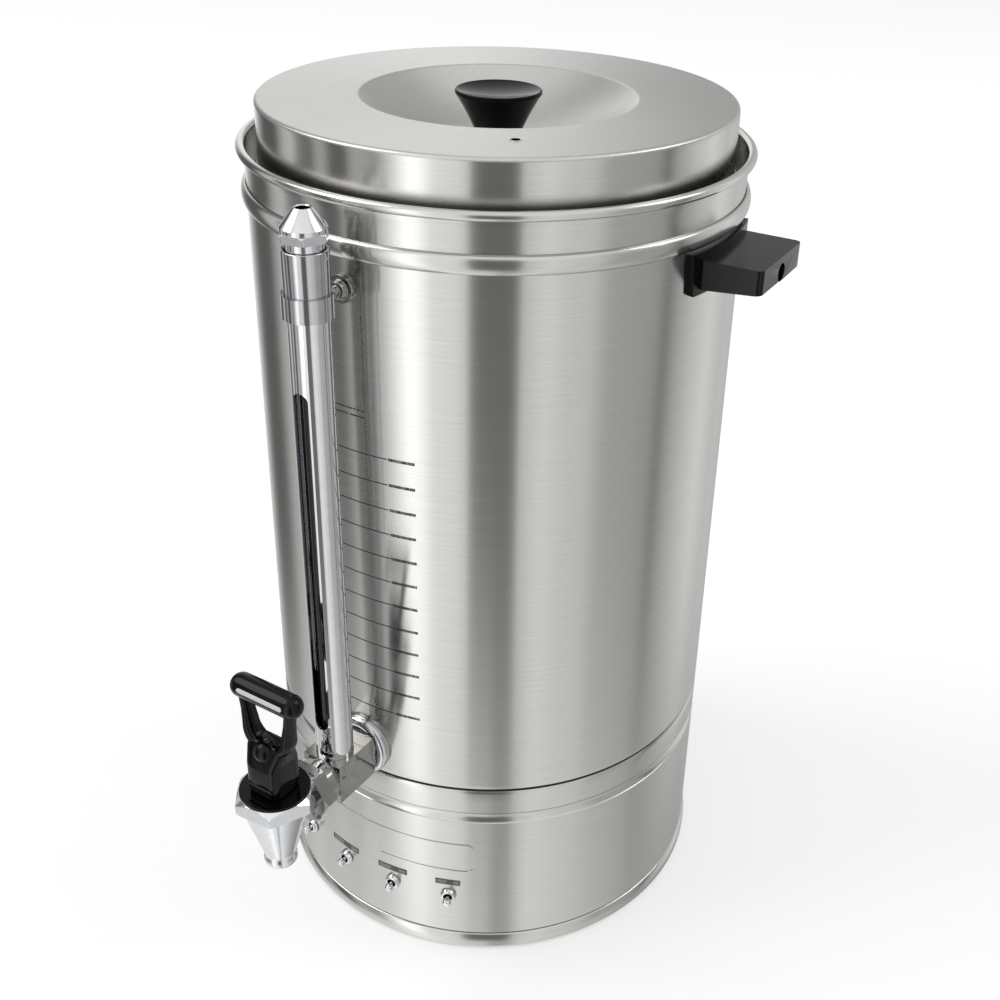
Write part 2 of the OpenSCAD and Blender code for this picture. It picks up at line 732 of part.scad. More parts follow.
// Hexagon nut that holds the tap's cap, turned round at its top
module tap_bonnet()
  color(CHROME) at_tap() difference() {
    translate([0, 0, bonnet_z0]) intersection() {
      hex(bonnet_af, bonnet_h);
      cylinder(r1 = bonnet_af / 2 + 1.5 + bonnet_h, r2 = bonnet_af / 2 - 0.2, h = bonnet_h);
      cylinder(r1 = bonnet_af / 2 + 0.4, r2 = bonnet_af / 2 + 0.4 + bonnet_h, h = bonnet_h);
    }
    cylinder_between(thread_r + fit, bonnet_z0 - 1, bonnet_z + 1);
    cylinder_between(tap_cap_r + fit, bonnet_z - 1.5, bonnet_z + 1);
  }

module tap_cap()
  color(BLACK) at_tap() difference() {
    union() {
      cylinder_between(tap_cap_r, bonnet_z - 1.5 + fit, tap_cap_top);
      cylinder_between(thread_r - fit, thread_top + fit, bonnet_z);
    }
    cylinder_between(stem_r + run, thread_top - 1, tap_cap_top + 1);
  }

module tap_stem()
  color("silver") at_tap() difference() {
    union() {
      cylinder_between(stem_r, cup_z + 2, pin_z - 2);
      cylinder_between(5.5, cup_z + cup_h - 2.5, cup_z + cup_h);
      translate([-stem_flat / 2, 0, pin_z]) rotate([0, 90, 0]) cylinder(r = stem_eye_r, h = stem_flat);
    }
    translate([-9, 0, pin_z]) rotate([0, 90, 0]) cylinder(r = pin_r + 0.06, h = 18);
  }

// Soft cup that closes the seat
module seat_cup()
  color("mistyrose") at_tap() difference() {
    union() {
      cylinder_between(8.5, cup_z, cup_z + 3);
      cylinder_between(6.5, cup_z + 2, cup_z + cup_h - 2.5 - fit);
    }
    cylinder_between(stem_r + fit, cup_z + 2 - fit, cup_z + cup_h);
  }

// Points of the closing spring's helix and its tube
module tap_spring() {
  n = 14;
  s = 6;
  rise = spring_z1 - spring_z0 - 2 * spring_wire_r;
  steps = spring_turns * n;
  points = [for (i = [0:steps], k = [0:s - 1])
    let (a = 360 * i / n, b = 360 * k / s, r = spring_r + spring_wire_r * cos(b))
    [r * cos(a), r * sin(a), spring_z0 + spring_wire_r + rise * i / steps + spring_wire_r * sin(b)]];
  sides = [for (i = [0:steps - 1], k = [0:s - 1]) let (a = i * s + k, b = i * s + (k + 1) % s)
    each [[a, a + s, b], [b, a + s, b + s]]];
  ends = [[for (k = [0:s - 1]) k], [for (k = [s - 1:-1:0]) steps * s + k]];
  color("silver") at_tap() polyhedron(points, concat(sides, ends), convexity = 8);
}

// Side outline of the lever about its pin: the flat underside rests on the cap,
// and its front corner lifts the pin when the lever is pulled
function lever_side() = concat(
  arc([foot_half - 1.5, -foot_drop + 1.5], 1.5, -90, -30, 4),
  [[lever_deep, -4], [lever_deep, 14], [lever_deep - 2, 17], [6, yoke_z - 1], [4.4, yoke_z + 4],
   [4.4, bar_z - pin_z], [-4.4, bar_z - pin_z], [-4.4, yoke_z + 4], [-6, yoke_z - 1],
   [-lever_deep + 2, 17], [-lever_deep, 14], [-lever_deep, -4]],
  arc([-foot_half + 1.5, -foot_drop + 1.5], 1.5, 210, 270, 4));

// Front outline of the lever about its pin, with the finger opening in it
module lever_front() {
  h = bar_z - pin_z;
  top = bar_half + 1.4;
  difference() {
    polygon([[-lever_half, -foot_drop], [lever_half, -foot_drop], [lever_half, 14], [top - 6, yoke_z + 1],
      [top - 3, (yoke_z + h) / 2 - 3], [top, h - 6], [top, h], [-top, h], [-top, h - 6],
      [-top + 3, (yoke_z + h) / 2 - 3], [-top + 6, yoke_z + 1], [-lever_half, 14]]);
    polygon(concat(arc([top - 12, yoke_z + 5], 5, -90, -10, 6), [[top - 5, h - 6], [top - 4.4, h - 1]],
      [[-top + 4.4, h - 1], [-top + 5, h - 6]], arc([-top + 12, yoke_z + 5], 5, 190, 270, 6)));
  }
}

// Forked lever with a bar across its top and a round boss between its arms
module tap_lever() {
  color(BLACK) at_tap() difference() {
    union() {
      intersection() {
        translate([-30, 0, pin_z]) rotate([90, 0, 90]) linear_extrude(60) polygon(lever_side());
        translate([0, 20, pin_z]) rotate([90, 0, 0]) linear_extrude(40) lever_front();
      }
      translate([0, -5.5, pin_z + 21]) sphere(r = 5.8);
      for (s = [-1, 1]) translate([s * bar_half, 0, bar_z]) sphere(r = bar_r);
      translate([-bar_half, 0, bar_z]) rotate([0, 90, 0]) cylinder(r = bar_r, h = 2 * bar_half);
    }
    // slot for the stem's eye, closed at the front
    translate([-stem_flat / 2 - run, -foot_half + 1, pin_z - foot_drop - 1])
      cube([stem_flat + 2 * run, foot_half - 1 + stem_eye_r + run, foot_drop + 1 + stem_eye_r + run]);
    translate([-lever_half - 1, 0, pin_z]) rotate([0, 90, 0])
      cylinder(r = pin_r + fit / 2, h = 2 * lever_half + 2);
    // shallow panel in the front face
    translate([-lever_half + 2.5, -lever_deep - 1, pin_z - 2]) cube([2 * lever_half - 5, 1.7, 13]);
    insert_slot(insert_half + fit, insert_w + 2 * fit, 3);
  }
}

// Round-ended slab on the front of the lever's bar
module insert_slot(half, w, deep)
  translate([0, 0, bar_z]) rotate([insert_tilt, 0, 0])
    translate([0, -bar_r + insert_t, 0]) rotate([90, 0, 0]) linear_extrude(deep)
      polygon(concat(arc([half - w / 2, 0], w / 2, -90, 90), arc([-half + w / 2, 0], w / 2, 90, 270)));

module lever_insert()
  color(WHITE) at_tap() intersection() {
    translate([-bar_half, 0, bar_z]) rotate([0, 90, 0]) cylinder(r = bar_r, h = 2 * bar_half);
    insert_slot(insert_half, insert_w, 3);
  }

module lever_pin()
  color("silver") at_tap() translate([-lever_half + 1, 0, pin_z]) rotate([0, 90, 0])
    cylinder(r = pin_r, h = 2 * lever_half - 2);

// ---- Lid ----

// Curve of the dish, from its floor to the rounded edge at the lid's top
function dish_curve(drop) = [for (i = [0:10]) let (u = i / 10)
  [dish_floor_r + (dish_r - dish_floor_r) * u, dish_z - drop + dish_d * pow(u, 1.6)]];

module lid_cover() {
  t = sheet_t;
  upper = dish_curve(0);
  lower = dish_curve(t);
  color(STEEL) difference() {
    rotate_extrude() polygon(concat(
      [[knob_screw_r + fit, dish_z]], upper,
      arc([lid_r - lid_edge_r, lid_top_z - lid_edge_r], lid_edge_r, 90, 0, 5),
      [[lid_r, lid_z], [lid_r - t, lid_z]],
      [[lid_r - t, lid_top_z - t]], [for (i = [len(lower) - 1:-1:0]) lower[i]],
      [[knob_screw_r + fit, dish_z - t]]));
    rotate([0, 0, vent_angle]) translate([0, -vent_reach, lid_top_z - 5])
      cylinder(r = vent_r + fit / 2, h = 10);
  }
}

// Lower skin of the lid, pressed into a plug
module lid_pan() {
  t = sheet_t;
  r = plug_r;
  edge = lid_r - t - fit;
  z = lid_z;
  color(STEEL) difference() {
    rotate_extrude() polygon(concat(
      [[0, z - plug_d]], arc([r - 3, z - plug_d + 3], 3, -90, 0, 4),
      [[r, z + fit], [edge, z + fit], [edge, z + fit + t], [r - t, z + fit + t],
       [r - t, z - plug_d + 3]],
      arc([r - 3, z - plug_d + 3], 2, 0, -90, 4), [[0, z - plug_d + t]]));
    rotate([0, 0, vent_angle]) translate([0, -vent_reach, z - plug_d - 2])
      cylinder(r = vent_r + fit / 2, h = 6);
  }
}

module lid_core() {
  t = sheet_t + run;
  z0 = lid_z - plug_d + t;
  color("khaki") difference() {
    rotate_extrude() polygon(concat(
      [[0, z0], [plug_r - 3 - t, z0], [plug_r - t, z0 + 3], [plug_r - t, lid_z + fit + t + run],
       [lid_r - t - fit, lid_z + fit + t + run], [lid_r - t - fit, lid_top_z - lid_edge_r - t],
       [lid_r - lid_edge_r - t, lid_top_z - t]],
      [for (p = [for (i = [10:-1:0]) dish_curve(t)[i]]) p + [0.8, 0]],
      [[0, dish_z - t]]));
    rotate([0, 0, vent_angle]) translate([0, -vent_reach, z0 - 2])
      cylinder(r = vent_r + run, h = lid_h + plug_d + 4);
    translate([0, 0, dish_z - 12]) cylinder(r = 8, h = 20);
  }
}

module lid_gasket()
  color("gainsboro") rotate_extrude()
    translate([plug_r + gasket_r + fit / 2, lid_z - 7]) circle(r = gasket_r);

module lid_knob() {
  h = knob_h;
  r0 = knob_foot_r;
  r1 = knob_top_r;
  side = [for (i = [0:8]) let (u = i / 8) [r0 + (r1 - r0) * (0.75 * u + 0.25 * u * u), dish_z + 1 + (h - 3) * u]];
  color(BLACK) difference() {
    rotate_extrude() polygon(concat(
      [[0, dish_z + fit], [r0 - 0.8, dish_z + fit]], side,
      arc([r1 - 1, dish_z + h - 1], 1, 0, 90, 3),
      [for (i = [0:6]) let (u = i / 6) [(r1 - 1) * (1 - u), dish_z + h - 3.2 * (1 - pow(1 - u, 2))]]));
    translate([0, 0, dish_z - 1]) cylinder(r = knob_screw_r + fit / 2, h = 1 + knob_screw_in + 1);
  }
}

module knob_screw()
  color("silver") union() {
    translate([0, 0, dish_z - sheet_t - 4 - fit]) cylinder(r = 5.5, h = 2.6);
    translate([0, 0, dish_z - sheet_t - 1.4 - fit]) cylinder(r = 7.5, h = 1.4);
    translate([0, 0, dish_z - sheet_t - 4 - fit]) cylinder(r = knob_screw_r, h = sheet_t + 4 + fit + knob_screw_in);
  }

module vent_tube()
  color("silver") rotate([0, 0, vent_angle]) translate([0, -vent_reach, 0]) difference() {
    union() {
      cylinder_between(vent_r, lid_z - plug_d - 0.6, lid_top_z + 0.4);
      cylinder_between(vent_r + 1.4, lid_top_z + fit, lid_top_z + 0.6);
    }
    cylinder_between(vent_bore_r, lid_z - plug_d - 2, lid_top_z + 3);
  }

// ---- Grips ----

// Moulded grip on a saddle that follows the shell, pointing to -Y
module grip() {
  out = body_r + grip_reach;
  color(BLACK) difference() {
    intersection() {
      translate([0, -out / 2 - 30, grip_top_z - 60])
        linear_extrude(100) polygon(round_rect(grip_w, out - 60, grip_corner_r));
      rotate([90, 0, 90]) translate([0, 0, -grip_w]) linear_extrude(2 * grip_w)
        polygon([[-out - 1, grip_top_z - grip_tip_h], [-out - 1, grip_top_z], [-body_r + 30, grip_top_z],
                 [-body_r + 30, grip_top_z - grip_root_h], [-body_r, grip_top_z - grip_root_h]]);
    }
    cylinder(r = grip_seat_r + fit, h = far, $fn = 360);
    outward(0, grip_seat_r + grip_web, grip_hole_z) cylinder(r = grip_hole_r, h = 40);
    outward(0, body_r - 10, grip_hole_z) cylinder(r = grip_screw_r + fit, h = 40);
  }
}

// Black saddle between the grip and the shell
module saddle()
  color(RUBBER) difference() {
    intersection() {
      ring(body_r + fit, grip_seat_r, saddle_z0, saddle_z0 + saddle_h);
      rotate([0, 0, -90 - saddle_half]) rotate_extrude(angle = 2 * saddle_half)
        translate([body_r - 5, saddle_z0 - 1]) square([20, saddle_h + 2]);
    }
    outward(0, body_r - 10, grip_hole_z) cylinder(r = grip_screw_r + fit, h = 40);
  }

// One screw in each grip
module grip_screws()
  color("silver") for (a = [-grip_angle, grip_angle])
    outward(a, grip_seat_r + grip_web, grip_hole_z) {
      difference() {
        translate([0, 0, fit]) cylinder(r = grip_head_r, h = 4);
        translate([0, 0, 2]) hex(3, 4);
      }
      translate([0, 0, -saddle_t - grip_web - 8]) cylinder(r = grip_screw_r, h = saddle_t + grip_web + 8 + 2);
    }

// Weld nuts inside the shell
module grip_nuts()
  color("silver") for (a = [-grip_angle, grip_angle])
    outward(a, body_r - sheet_t - 5.6, grip_hole_z) difference() {
      hex(9, 5);
      translate([0, 0, -1]) cylinder(r = grip_screw_r + fit / 2, h = 8);
    }

outer_shell();
inner_tank();
tank_collar();
tank_insulation();
seam_gasket();
base_skirt();
base_pan();
feet();
heater_plate();
heating_element();
thermostat();
thermal_cutout();
centre_stud();
pan_nut();
centre_pad();
terminal_block();
inlet_socket();
inlet_pins();
switch_bodies();
switch_nuts();
switch_lever(1);  // switch_lever_1
switch_lever(2);  // switch_lever_2
switch_lever(3);  // switch_lever_3
switch_lever(4);  // switch_lever_4
tank_nipple();
tank_nut();
dress_ring();
gauge_block();
gauge_shield();
gauge_glass();
glass_seals();
gauge_sleeve();
gauge_cap();
gauge_clamp();
clamp_stud();
tap_body();
tap_spout();
union_nut();
union_seal();
tap_bonnet();
tap_cap();
tap_stem();
seat_cup();
tap_spring();
tap_lever();
lever_insert();
lever_pin();
lid_cover();
lid_pan();
lid_core();
lid_gasket();
lid_knob();
knob_screw();
vent_tube();
rotate([0, 0, grip_angle]) grip();  // grip_right
rotate([0, 0, grip_angle]) saddle();  // saddle_right
rotate([0, 0, -grip_angle]) grip();  // grip_left
rotate([0, 0, -grip_angle]) saddle();  // saddle_left
grip_screws();
grip_nuts();
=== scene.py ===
import math
import bmesh
import bpy
import numpy as np
from mathutils import Matrix, Vector


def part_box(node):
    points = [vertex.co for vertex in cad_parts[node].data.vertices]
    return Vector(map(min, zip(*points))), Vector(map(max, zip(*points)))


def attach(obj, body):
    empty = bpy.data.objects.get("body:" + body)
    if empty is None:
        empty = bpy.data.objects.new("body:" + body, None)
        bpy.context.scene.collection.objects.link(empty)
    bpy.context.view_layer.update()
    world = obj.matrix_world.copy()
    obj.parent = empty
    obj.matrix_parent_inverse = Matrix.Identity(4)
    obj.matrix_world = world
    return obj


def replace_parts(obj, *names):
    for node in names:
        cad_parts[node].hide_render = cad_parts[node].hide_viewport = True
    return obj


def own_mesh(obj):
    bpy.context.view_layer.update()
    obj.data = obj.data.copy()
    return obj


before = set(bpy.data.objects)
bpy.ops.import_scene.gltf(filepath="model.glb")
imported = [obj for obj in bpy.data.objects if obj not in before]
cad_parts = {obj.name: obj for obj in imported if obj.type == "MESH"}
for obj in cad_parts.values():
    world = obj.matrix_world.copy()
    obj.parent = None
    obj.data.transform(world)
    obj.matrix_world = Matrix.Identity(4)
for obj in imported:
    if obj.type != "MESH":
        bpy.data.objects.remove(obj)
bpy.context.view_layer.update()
print("frame loaded:", len(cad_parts), "nodes")

mm = 0.001

# sizes shared by several pieces, in mm; the tap points to -Y, and angles round the urn start there
urn = dict(bodyR=150.0, seamLow=140.0, seamHigh=141.6, beadLow=487.6, beadHigh=498.6, beadOut=3.3,
           rimZ=519.3, rimRoll=2.8, sheet=1.0, tankR=135.0, ledgeZ=497.0, lidZ=497.3, lidTop=546.0,
           tapY=-231.0, gaugeY=-177.0)
degPerMm = math.degrees(1 / urn["bodyR"])  # of arc on the drum


# colour and material helpers

def srgb(code):
    # turns an sRGB hex colour to linear: each channel through the sRGB curve
    v = np.array([int(code[i:i + 2], 16) for i in (1, 3, 5)]) / 255
    lin = np.where(v <= 0.04045, v / 12.92, ((v + 0.055) / 1.055) ** 2.4)
    return (*lin.tolist(), 1.0)


def add(tree, kind, links=(), stops=(), **settings):
    # adds one node: settings name its properties or sockets, links are (socket or value, input's name or
    # number), and stops are a ramp's (place from 0 to 1, grey level)
    n = tree.nodes.new(kind)
    for key, value in settings.items():
        if key in n.bl_rna.properties:
            setattr(n, key, value)
        else:
            n.inputs[key.replace("_", " ")].default_value = value
    for source, target in links:
        if isinstance(source, bpy.types.NodeSocket):
            tree.links.new(source, n.inputs[target])
        else:
            n.inputs[target].default_value = source
    if stops:
        marks = n.color_ramp.elements
        while len(marks) < len(stops):
            marks.new(0.5)
        for mark, (place, level) in zip(marks, stops):
            mark.position = place
            mark.color = (level, level, level, 1)
    return n


def newMaterial(name, colour, **sockets):
    # a principled shader with its constants set directly
    m = bpy.data.materials.new(name)
    m.use_nodes = True
    tree = m.node_tree
    shader = tree.nodes["Principled BSDF"]
    shader.inputs["Base Color"].default_value = srgb(colour)
    for key, value in sockets.items():
        shader.inputs[key.replace("_", " ")].default_value = value
    return m, tree, shader


def grainFrom(tree, stretch, scale, detail=6.0):
    # noise on Object coordinates, stretched along the axes where the stretch is small
    place = add(tree, "ShaderNodeTexCoord")
    mapped = add(tree, "ShaderNodeMapping", [(place.outputs["Object"], "Vector")], Scale=stretch)
    return add(tree, "ShaderNodeTexNoise", [(mapped.outputs["Vector"], "Vector")],
               Scale=scale, Detail=detail, Roughness=0.6).outputs[0]


def raised(tree, shader, grain, strength, depth):
    # the grain as relief, depth in metres
    bump = add(tree, "ShaderNodeBump", [(grain, "Height")], Strength=strength, Distance=depth)
    tree.links.new(bump.outputs[0], shader.inputs["Normal"])


def surfaced(tree, shader, grain, tints, strength, depth, rough=None, broad=None):
    # one grain tints the surface between two colours and raises it; it, or a broader one, also varies the
    # roughness
    dark, light = (srgb(code) for code in tints)
    tint = add(tree, "ShaderNodeMix", [(grain, 0), (dark, 6), (light, 7)], data_type="RGBA")
    tree.links.new(tint.outputs[2], shader.inputs["Base Color"])
    if rough:
        spread = add(tree, "ShaderNodeMapRange", [(grain if broad is None else broad, "Value")],
                     To_Min=rough[0], To_Max=rough[1])
        tree.links.new(spread.outputs[0], shader.inputs["Roughness"])
    raised(tree, shader, grain, strength, depth)


def brushedSteel(name, stretch, spec, tangentAxis=None):
    # stainless sheet ground with a belt: grit lines run one way and pull reflections out across them
    m, tree, shader = newMaterial(name, spec["colour"], Metallic=1.0, Roughness=spec["rough"],
                                  Anisotropic=spec["aniso"])
    fine = grainFrom(tree, stretch, spec["grit"])
    broad = grainFrom(tree, stretch, spec["grit"] * 0.16, detail=3.0)  # one line in six
    surfaced(tree, shader, fine, (spec["dark"], spec["light"]), spec["bump"], 0.00004,
             (spec["rough"] - 0.02, spec["rough"] + 0.03), broad)
    if tangentAxis:
        turn = add(tree, "ShaderNodeTangent", direction_type="RADIAL", axis=tangentAxis)
        tree.links.new(turn.outputs[0], shader.inputs["Tangent"])
        shader.inputs["Anisotropic Rotation"].default_value = spec["turn"]
    return m


# grit is lines per metre across the grain: 240 grit leaves lines about 0.25 mm apart, drawn at 0.6 mm
steelRound = brushedSteel("brushedStainlessRound", (0.02, 0.02, 1.0), dict(
    colour="#cac9c6", dark="#c2c1be", light="#d2d1ce", rough=0.18, aniso=0.9, grit=1600, bump=0.08,
    turn=0.25), "Z")
steelLid = brushedSteel("brushedStainlessLid", (1.0, 0.02, 0.02), dict(
    colour="#c9c8c5", dark="#b9b8b5", light="#d0cfcc", rough=0.3, aniso=0.5, grit=1600, bump=0.14))
steelInner = brushedSteel("satinStainlessTank", (0.3, 0.3, 1.0), dict(
    colour="#bdbcb9", dark="#b0afac", light="#c6c5c2", rough=0.3, aniso=0.2, grit=900, bump=0.08,
    turn=0.25), "Z")


def platedBrass(name, colour, dark, light, rough):
    # polished plating over brass: a clear mirror with a faint soft waviness from hand polishing
    m, tree, shader = newMaterial(name, colour, Metallic=1.0, Roughness=rough)
    wave = grainFrom(tree, (1, 1, 1), 160, detail=2.0)
    surfaced(tree, shader, wave, (dark, light), 0.05, 0.0002, (rough * 0.7, rough * 1.7))
    return m


def mouldedPlastic(name, colour, dark, light, rough, grain, depth):
    # plastic or ceramic from a mould: a skin that follows the mould's polished or stippled face
    m, tree, shader = newMaterial(name, colour, Roughness=rough, IOR=1.5)
    skin = grainFrom(tree, (1, 1, 1), grain, detail=3.0)
    surfaced(tree, shader, skin, (dark, light), 0.3, depth, (rough * 0.8, rough * 1.25))
    return m


def softSolid(name, colour, dark, light, rough, grain, depth, **extra):
    # rubber, fibre, ink or cast metal: an even ground with fine random relief
    m, tree, shader = newMaterial(name, colour, Roughness=rough, **extra)
    surfaced(tree, shader, grainFrom(tree, (1, 1, 1), grain, detail=8.0), (dark, light), 0.5, depth)
    return m


chrome = platedBrass("polishedChromePlate", "#dcdddf", "#d3d4d6", "#e3e4e6", 0.05)
# a darker copy of the chrome for the gauge sleeve, clamp and dress ring: painted shade for their duller look
shadedChromeTube = platedBrass("polishedChromeTubePaintedShade", "#bfc0c2", "#b6b7b9", "#c8c9cb", 0.05)
# a darker copy of the chrome for the gauge block, stud, union nut and tail: painted shade for the darker
# reflections these fittings show
shadedPlate = platedBrass("polishedPlatePaintedShade", "#a09f9c", "#979693", "#aaa9a6", 0.08)
phenolicGloss = mouldedPlastic("mouldedPhenolicGloss", "#060607", "#050506", "#080809", 0.1, 700, 0.000006)
phenolicSatin = mouldedPlastic("mouldedPhenolicSatin", "#070708", "#060607", "#09090a", 0.2, 900, 0.000006)
phenolicKnob = mouldedPlastic("mouldedPhenolicKnob", "#050506", "#040405", "#070708", 0.12, 700, 0.000006)
whiteAbs = mouldedPlastic("mouldedAbsWhite", "#dededb", "#d2d2cf", "#e6e6e3", 0.3, 1200, 0.00002)
ivoryCeramic = mouldedPlastic("mouldedSteatiteIvory", "#d9d2bd", "#cfc8b2", "#e2dcc9", 0.45, 700, 0.00003)
footRubber = softSolid("mouldedFootRubber", "#161617", "#111112", "#1d1d1e", 0.75, 1200, 0.00006)
siliconeSeal = softSolid("mouldedSiliconeSeal", "#cfc8bb", "#c4bcae", "#d8d2c6", 0.6, 900, 0.00003)
glassFibre = softSolid("looseGlassFibre", "#c9c08f", "#b5aa74", "#d8d0a6", 0.95, 500, 0.0006)
castAluminium = softSolid("castAluminiumPlate", "#b9b9b7", "#a9a9a7", "#c6c6c4", 0.5, 600, 0.0001,
                          Metallic=1.0)
elementSheath = softSolid("bluedSteelSheath", "#3a3a3d", "#2c2c2f", "#4a4748", 0.45, 500, 0.00004,
                          Metallic=0.9)
zincPlate = softSolid("zincPlatedSteel", "#b4b5b3", "#a5a6a5", "#c3c4c2", 0.32, 800, 0.00003, Metallic=1.0)
turnedBrass = softSolid("turnedBrass", "#c7a35a", "#b8934a", "#d4b26c", 0.28, 900, 0.00003, Metallic=1.0)
etchInk = softSolid("etchedBlackFill", "#2b2a29", "#232221", "#3a3938", 0.6, 2600, 0.00002)
labelInk = softSolid("printedGreyInk", "#5d5c5a", "#4c4b49", "#6d6c69", 0.6, 1500, 0.00002)
labelPale = softSolid("printedPaleInk", "#8d8c89", "#7d7c79", "#9b9a97", 0.6, 1500, 0.00002)
pressShade = softSolid("shadowedPressedLine", "#84827e", "#757370", "#918f8b", 0.5, 900, 0.00002,
                       Metallic=0.6)
darkInside = softSolid("shadowedTubeInside", "#0a0a0a", "#070707", "#0e0e0e", 0.35, 400, 0.00002)
# matched to the photograph: the black pieces mirror less than their index gives, a hole's inside nothing
for black, level in ((phenolicGloss, 0.22), (phenolicSatin, 0.27), (phenolicKnob, 0.07), (darkInside, 0.0)):
    black.node_tree.nodes["Principled BSDF"].inputs["Specular IOR Level"].default_value = level


def gaugeGlass():
    # drawn borosilicate tube, clear in itself; its dark grey colour is painted shade for how dark it shows
    # inside its shield
    m, tree, shader = newMaterial("drawnBorosilicateGlass", "#2c2f30", Roughness=0.04, IOR=1.47,
                                  Transmission_Weight=0.35)
    raised(tree, shader, grainFrom(tree, (1, 1, 0.05), 500, detail=2.0), 0.05, 0.00005)
    return m


boroGlass = gaugeGlass()
print("materials made")


# surface helpers

def gridFaces(rows, cols, closeRows, closeCols):
    # quads between neighbouring rows and columns of a grid, wrapping round where it is closed
    r = np.arange(rows if closeRows else rows - 1)
    c = np.arange(cols if closeCols else cols - 1)
    i, j = np.meshgrid(r, c, indexing="ij")
    i2, j2 = (i + 1) % rows, (j + 1) % cols
    return np.stack([i * cols + j, i2 * cols + j, i2 * cols + j2, i * cols + j2], -1).reshape(-1, 4)


def meshFrom(name, points, quads, material, body, sharp=35.0):
    # a smooth mesh from an array of points in mm and one of quads, turned so its volume is positive
    p = points.reshape(-1, 3) * mm
    a, b, c, d = (p[quads[:, k]] for k in range(4))
    # six times the volume, from the two triangles of each quad
    volume = (np.cross(b - a, c - a) * a).sum() + (np.cross(c - a, d - a) * a).sum()
    if volume < 0:
        quads = quads[:, ::-1]
    mesh = bpy.data.meshes.new(name)
    mesh.vertices.add(len(p))
    mesh.vertices.foreach_set("co", p.ravel())
    mesh.loops.add(quads.size)
    mesh.loops.foreach_set("vertex_index", quads.ravel().astype(np.int32))
    mesh.polygons.add(len(quads))
    mesh.polygons.foreach_set("loop_start", np.arange(0, quads.size, 4, dtype=np.int32))
    mesh.update(calc_edges=True)
    mesh.validate()
    if sharp is not None:
        mesh.polygons.foreach_set("use_smooth", np.ones(len(mesh.polygons), bool))
        mesh.set_sharp_from_angle(angle=math.radians(sharp))
    mesh.materials.append(material)
    obj = bpy.data.objects.new(name, mesh)
    bpy.context.scene.collection.objects.link(obj)
    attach(obj, body)
    return obj


def eased(outline, radius, steps=4):
    # each corner of a closed outline becomes a parabola that leaves its sides at the given distance
    p = np.asarray(outline, float)
    radius = np.broadcast_to(np.asarray(radius, float), (len(p),))[:, None]
    before, after = np.roll(p, 1, 0) - p, np.roll(p, -1, 0) - p
    lb = np.linalg.norm(before, axis=1, keepdims=True)
    la = np.linalg.norm(after, axis=1, keepdims=True)
    start = p + before / lb * np.minimum(radius, lb * 0.45)
    end = p + after / la * np.minimum(radius, la * 0.45)
    t = np.linspace(0, 1, steps)[None, :, None]
    curve = (1 - t) ** 2 * start[:, None] + 2 * (1 - t) * t * p[:, None] + t ** 2 * end[:, None]
    return curve.reshape(-1, 2)


def roundAxis(r, h, t, centre, axis):
    # points at radius r, angle t and height h about an axis: c + r cos t, c + r sin t, h; along Y the height
    # runs outwards, towards -Y, from the urn's axis
    a, b, h = centre[0] + r * np.cos(t), centre[1] + r * np.sin(t), h + 0 * t
    return np.stack({"X": [h, a, b], "Y": [a, -h, b], "Z": [a, b, h]}[axis], -1)


def lathe(name, outline, material, body, steps=256, centre=(0, 0), axis="Z", sharp=35.0):
    # a closed outline of (radius, height) carried round an axis in equal steps of the angle
    o = np.asarray(outline, float)
    t = np.linspace(0, 2 * np.pi, steps, endpoint=False)
    points = roundAxis(o[:, 0][:, None], o[:, 1][:, None], t, centre, axis)
    return meshFrom(name, points, gridFaces(len(o), steps, True, True), material, body, sharp)


def cornerOf(flats):
    # the radius to a hexagon's corners: half its width across flats over cos 30
    return flats / 2 / math.cos(math.pi / 6)


def hexTurned(name, outline, flats, cut, material, body, turn=0.0, centre=(0, 0), axis="Z"):
    # a turned piece whose part between two heights is milled to a hexagon: the radius there is the smaller
    # of the outline's and the hexagon's, which is half the flats over cos of the angle from the flat's middle
    o = np.asarray(outline, float)
    t = np.radians(np.arange(0, 360, 1.0) + turn)
    hexagon = flats / 2 / np.cos(np.radians(np.arange(0, 360, 1.0) % 60 - 30))
    milled = (o[:, 1] > cut[0]) & (o[:, 1] < cut[1])
    r = np.where(milled[:, None], np.minimum(o[:, 0][:, None], hexagon), o[:, 0][:, None])
    points = roundAxis(r, o[:, 1][:, None], t, centre, axis)
    return meshFrom(name, points, gridFaces(len(o), 360, True, True), material, body, 18.0)


def tubeAlong(path, sizes, sides, power=2.0, across=(0, 1, 0)):
    # a superellipse ring carried along a path: each ring lies across the path's own direction, its first
    # half axis as near as it can be to the direction across
    path = np.asarray(path, float)
    tangent = np.gradient(path, axis=0)
    tangent /= np.linalg.norm(tangent, axis=1, keepdims=True)
    side = np.broadcast_to(np.asarray(across, float), path.shape)
    side = side - (side * tangent).sum(1, keepdims=True) * tangent
    side /= np.linalg.norm(side, axis=1, keepdims=True)
    other = np.cross(tangent, side)
    t = np.linspace(0, 2 * np.pi, sides, endpoint=False)
    c, s = np.cos(t), np.sin(t)
    c, s = np.sign(c) * np.abs(c) ** (2 / power), np.sign(s) * np.abs(s) ** (2 / power)
    sizes = np.broadcast_to(np.asarray(sizes, float), (len(path), 2))
    return (path[:, None] + side[:, None] * (c[None, :, None] * sizes[:, None, :1])
            + other[:, None] * (s[None, :, None] * sizes[:, None, 1:]))


def closedTube(name, rings, material, body):
    # a tube with one more ring at each end, drawn together to a point in the middle of its neighbour
    sides = rings.shape[1]
    first, last = (end.mean(1, keepdims=True).repeat(sides, 1) for end in (rings[:1], rings[-1:]))
    rings = np.concatenate([first, rings, last])
    return meshFrom(name, rings, gridFaces(len(rings), sides, False, True), material, body, sharp=60)


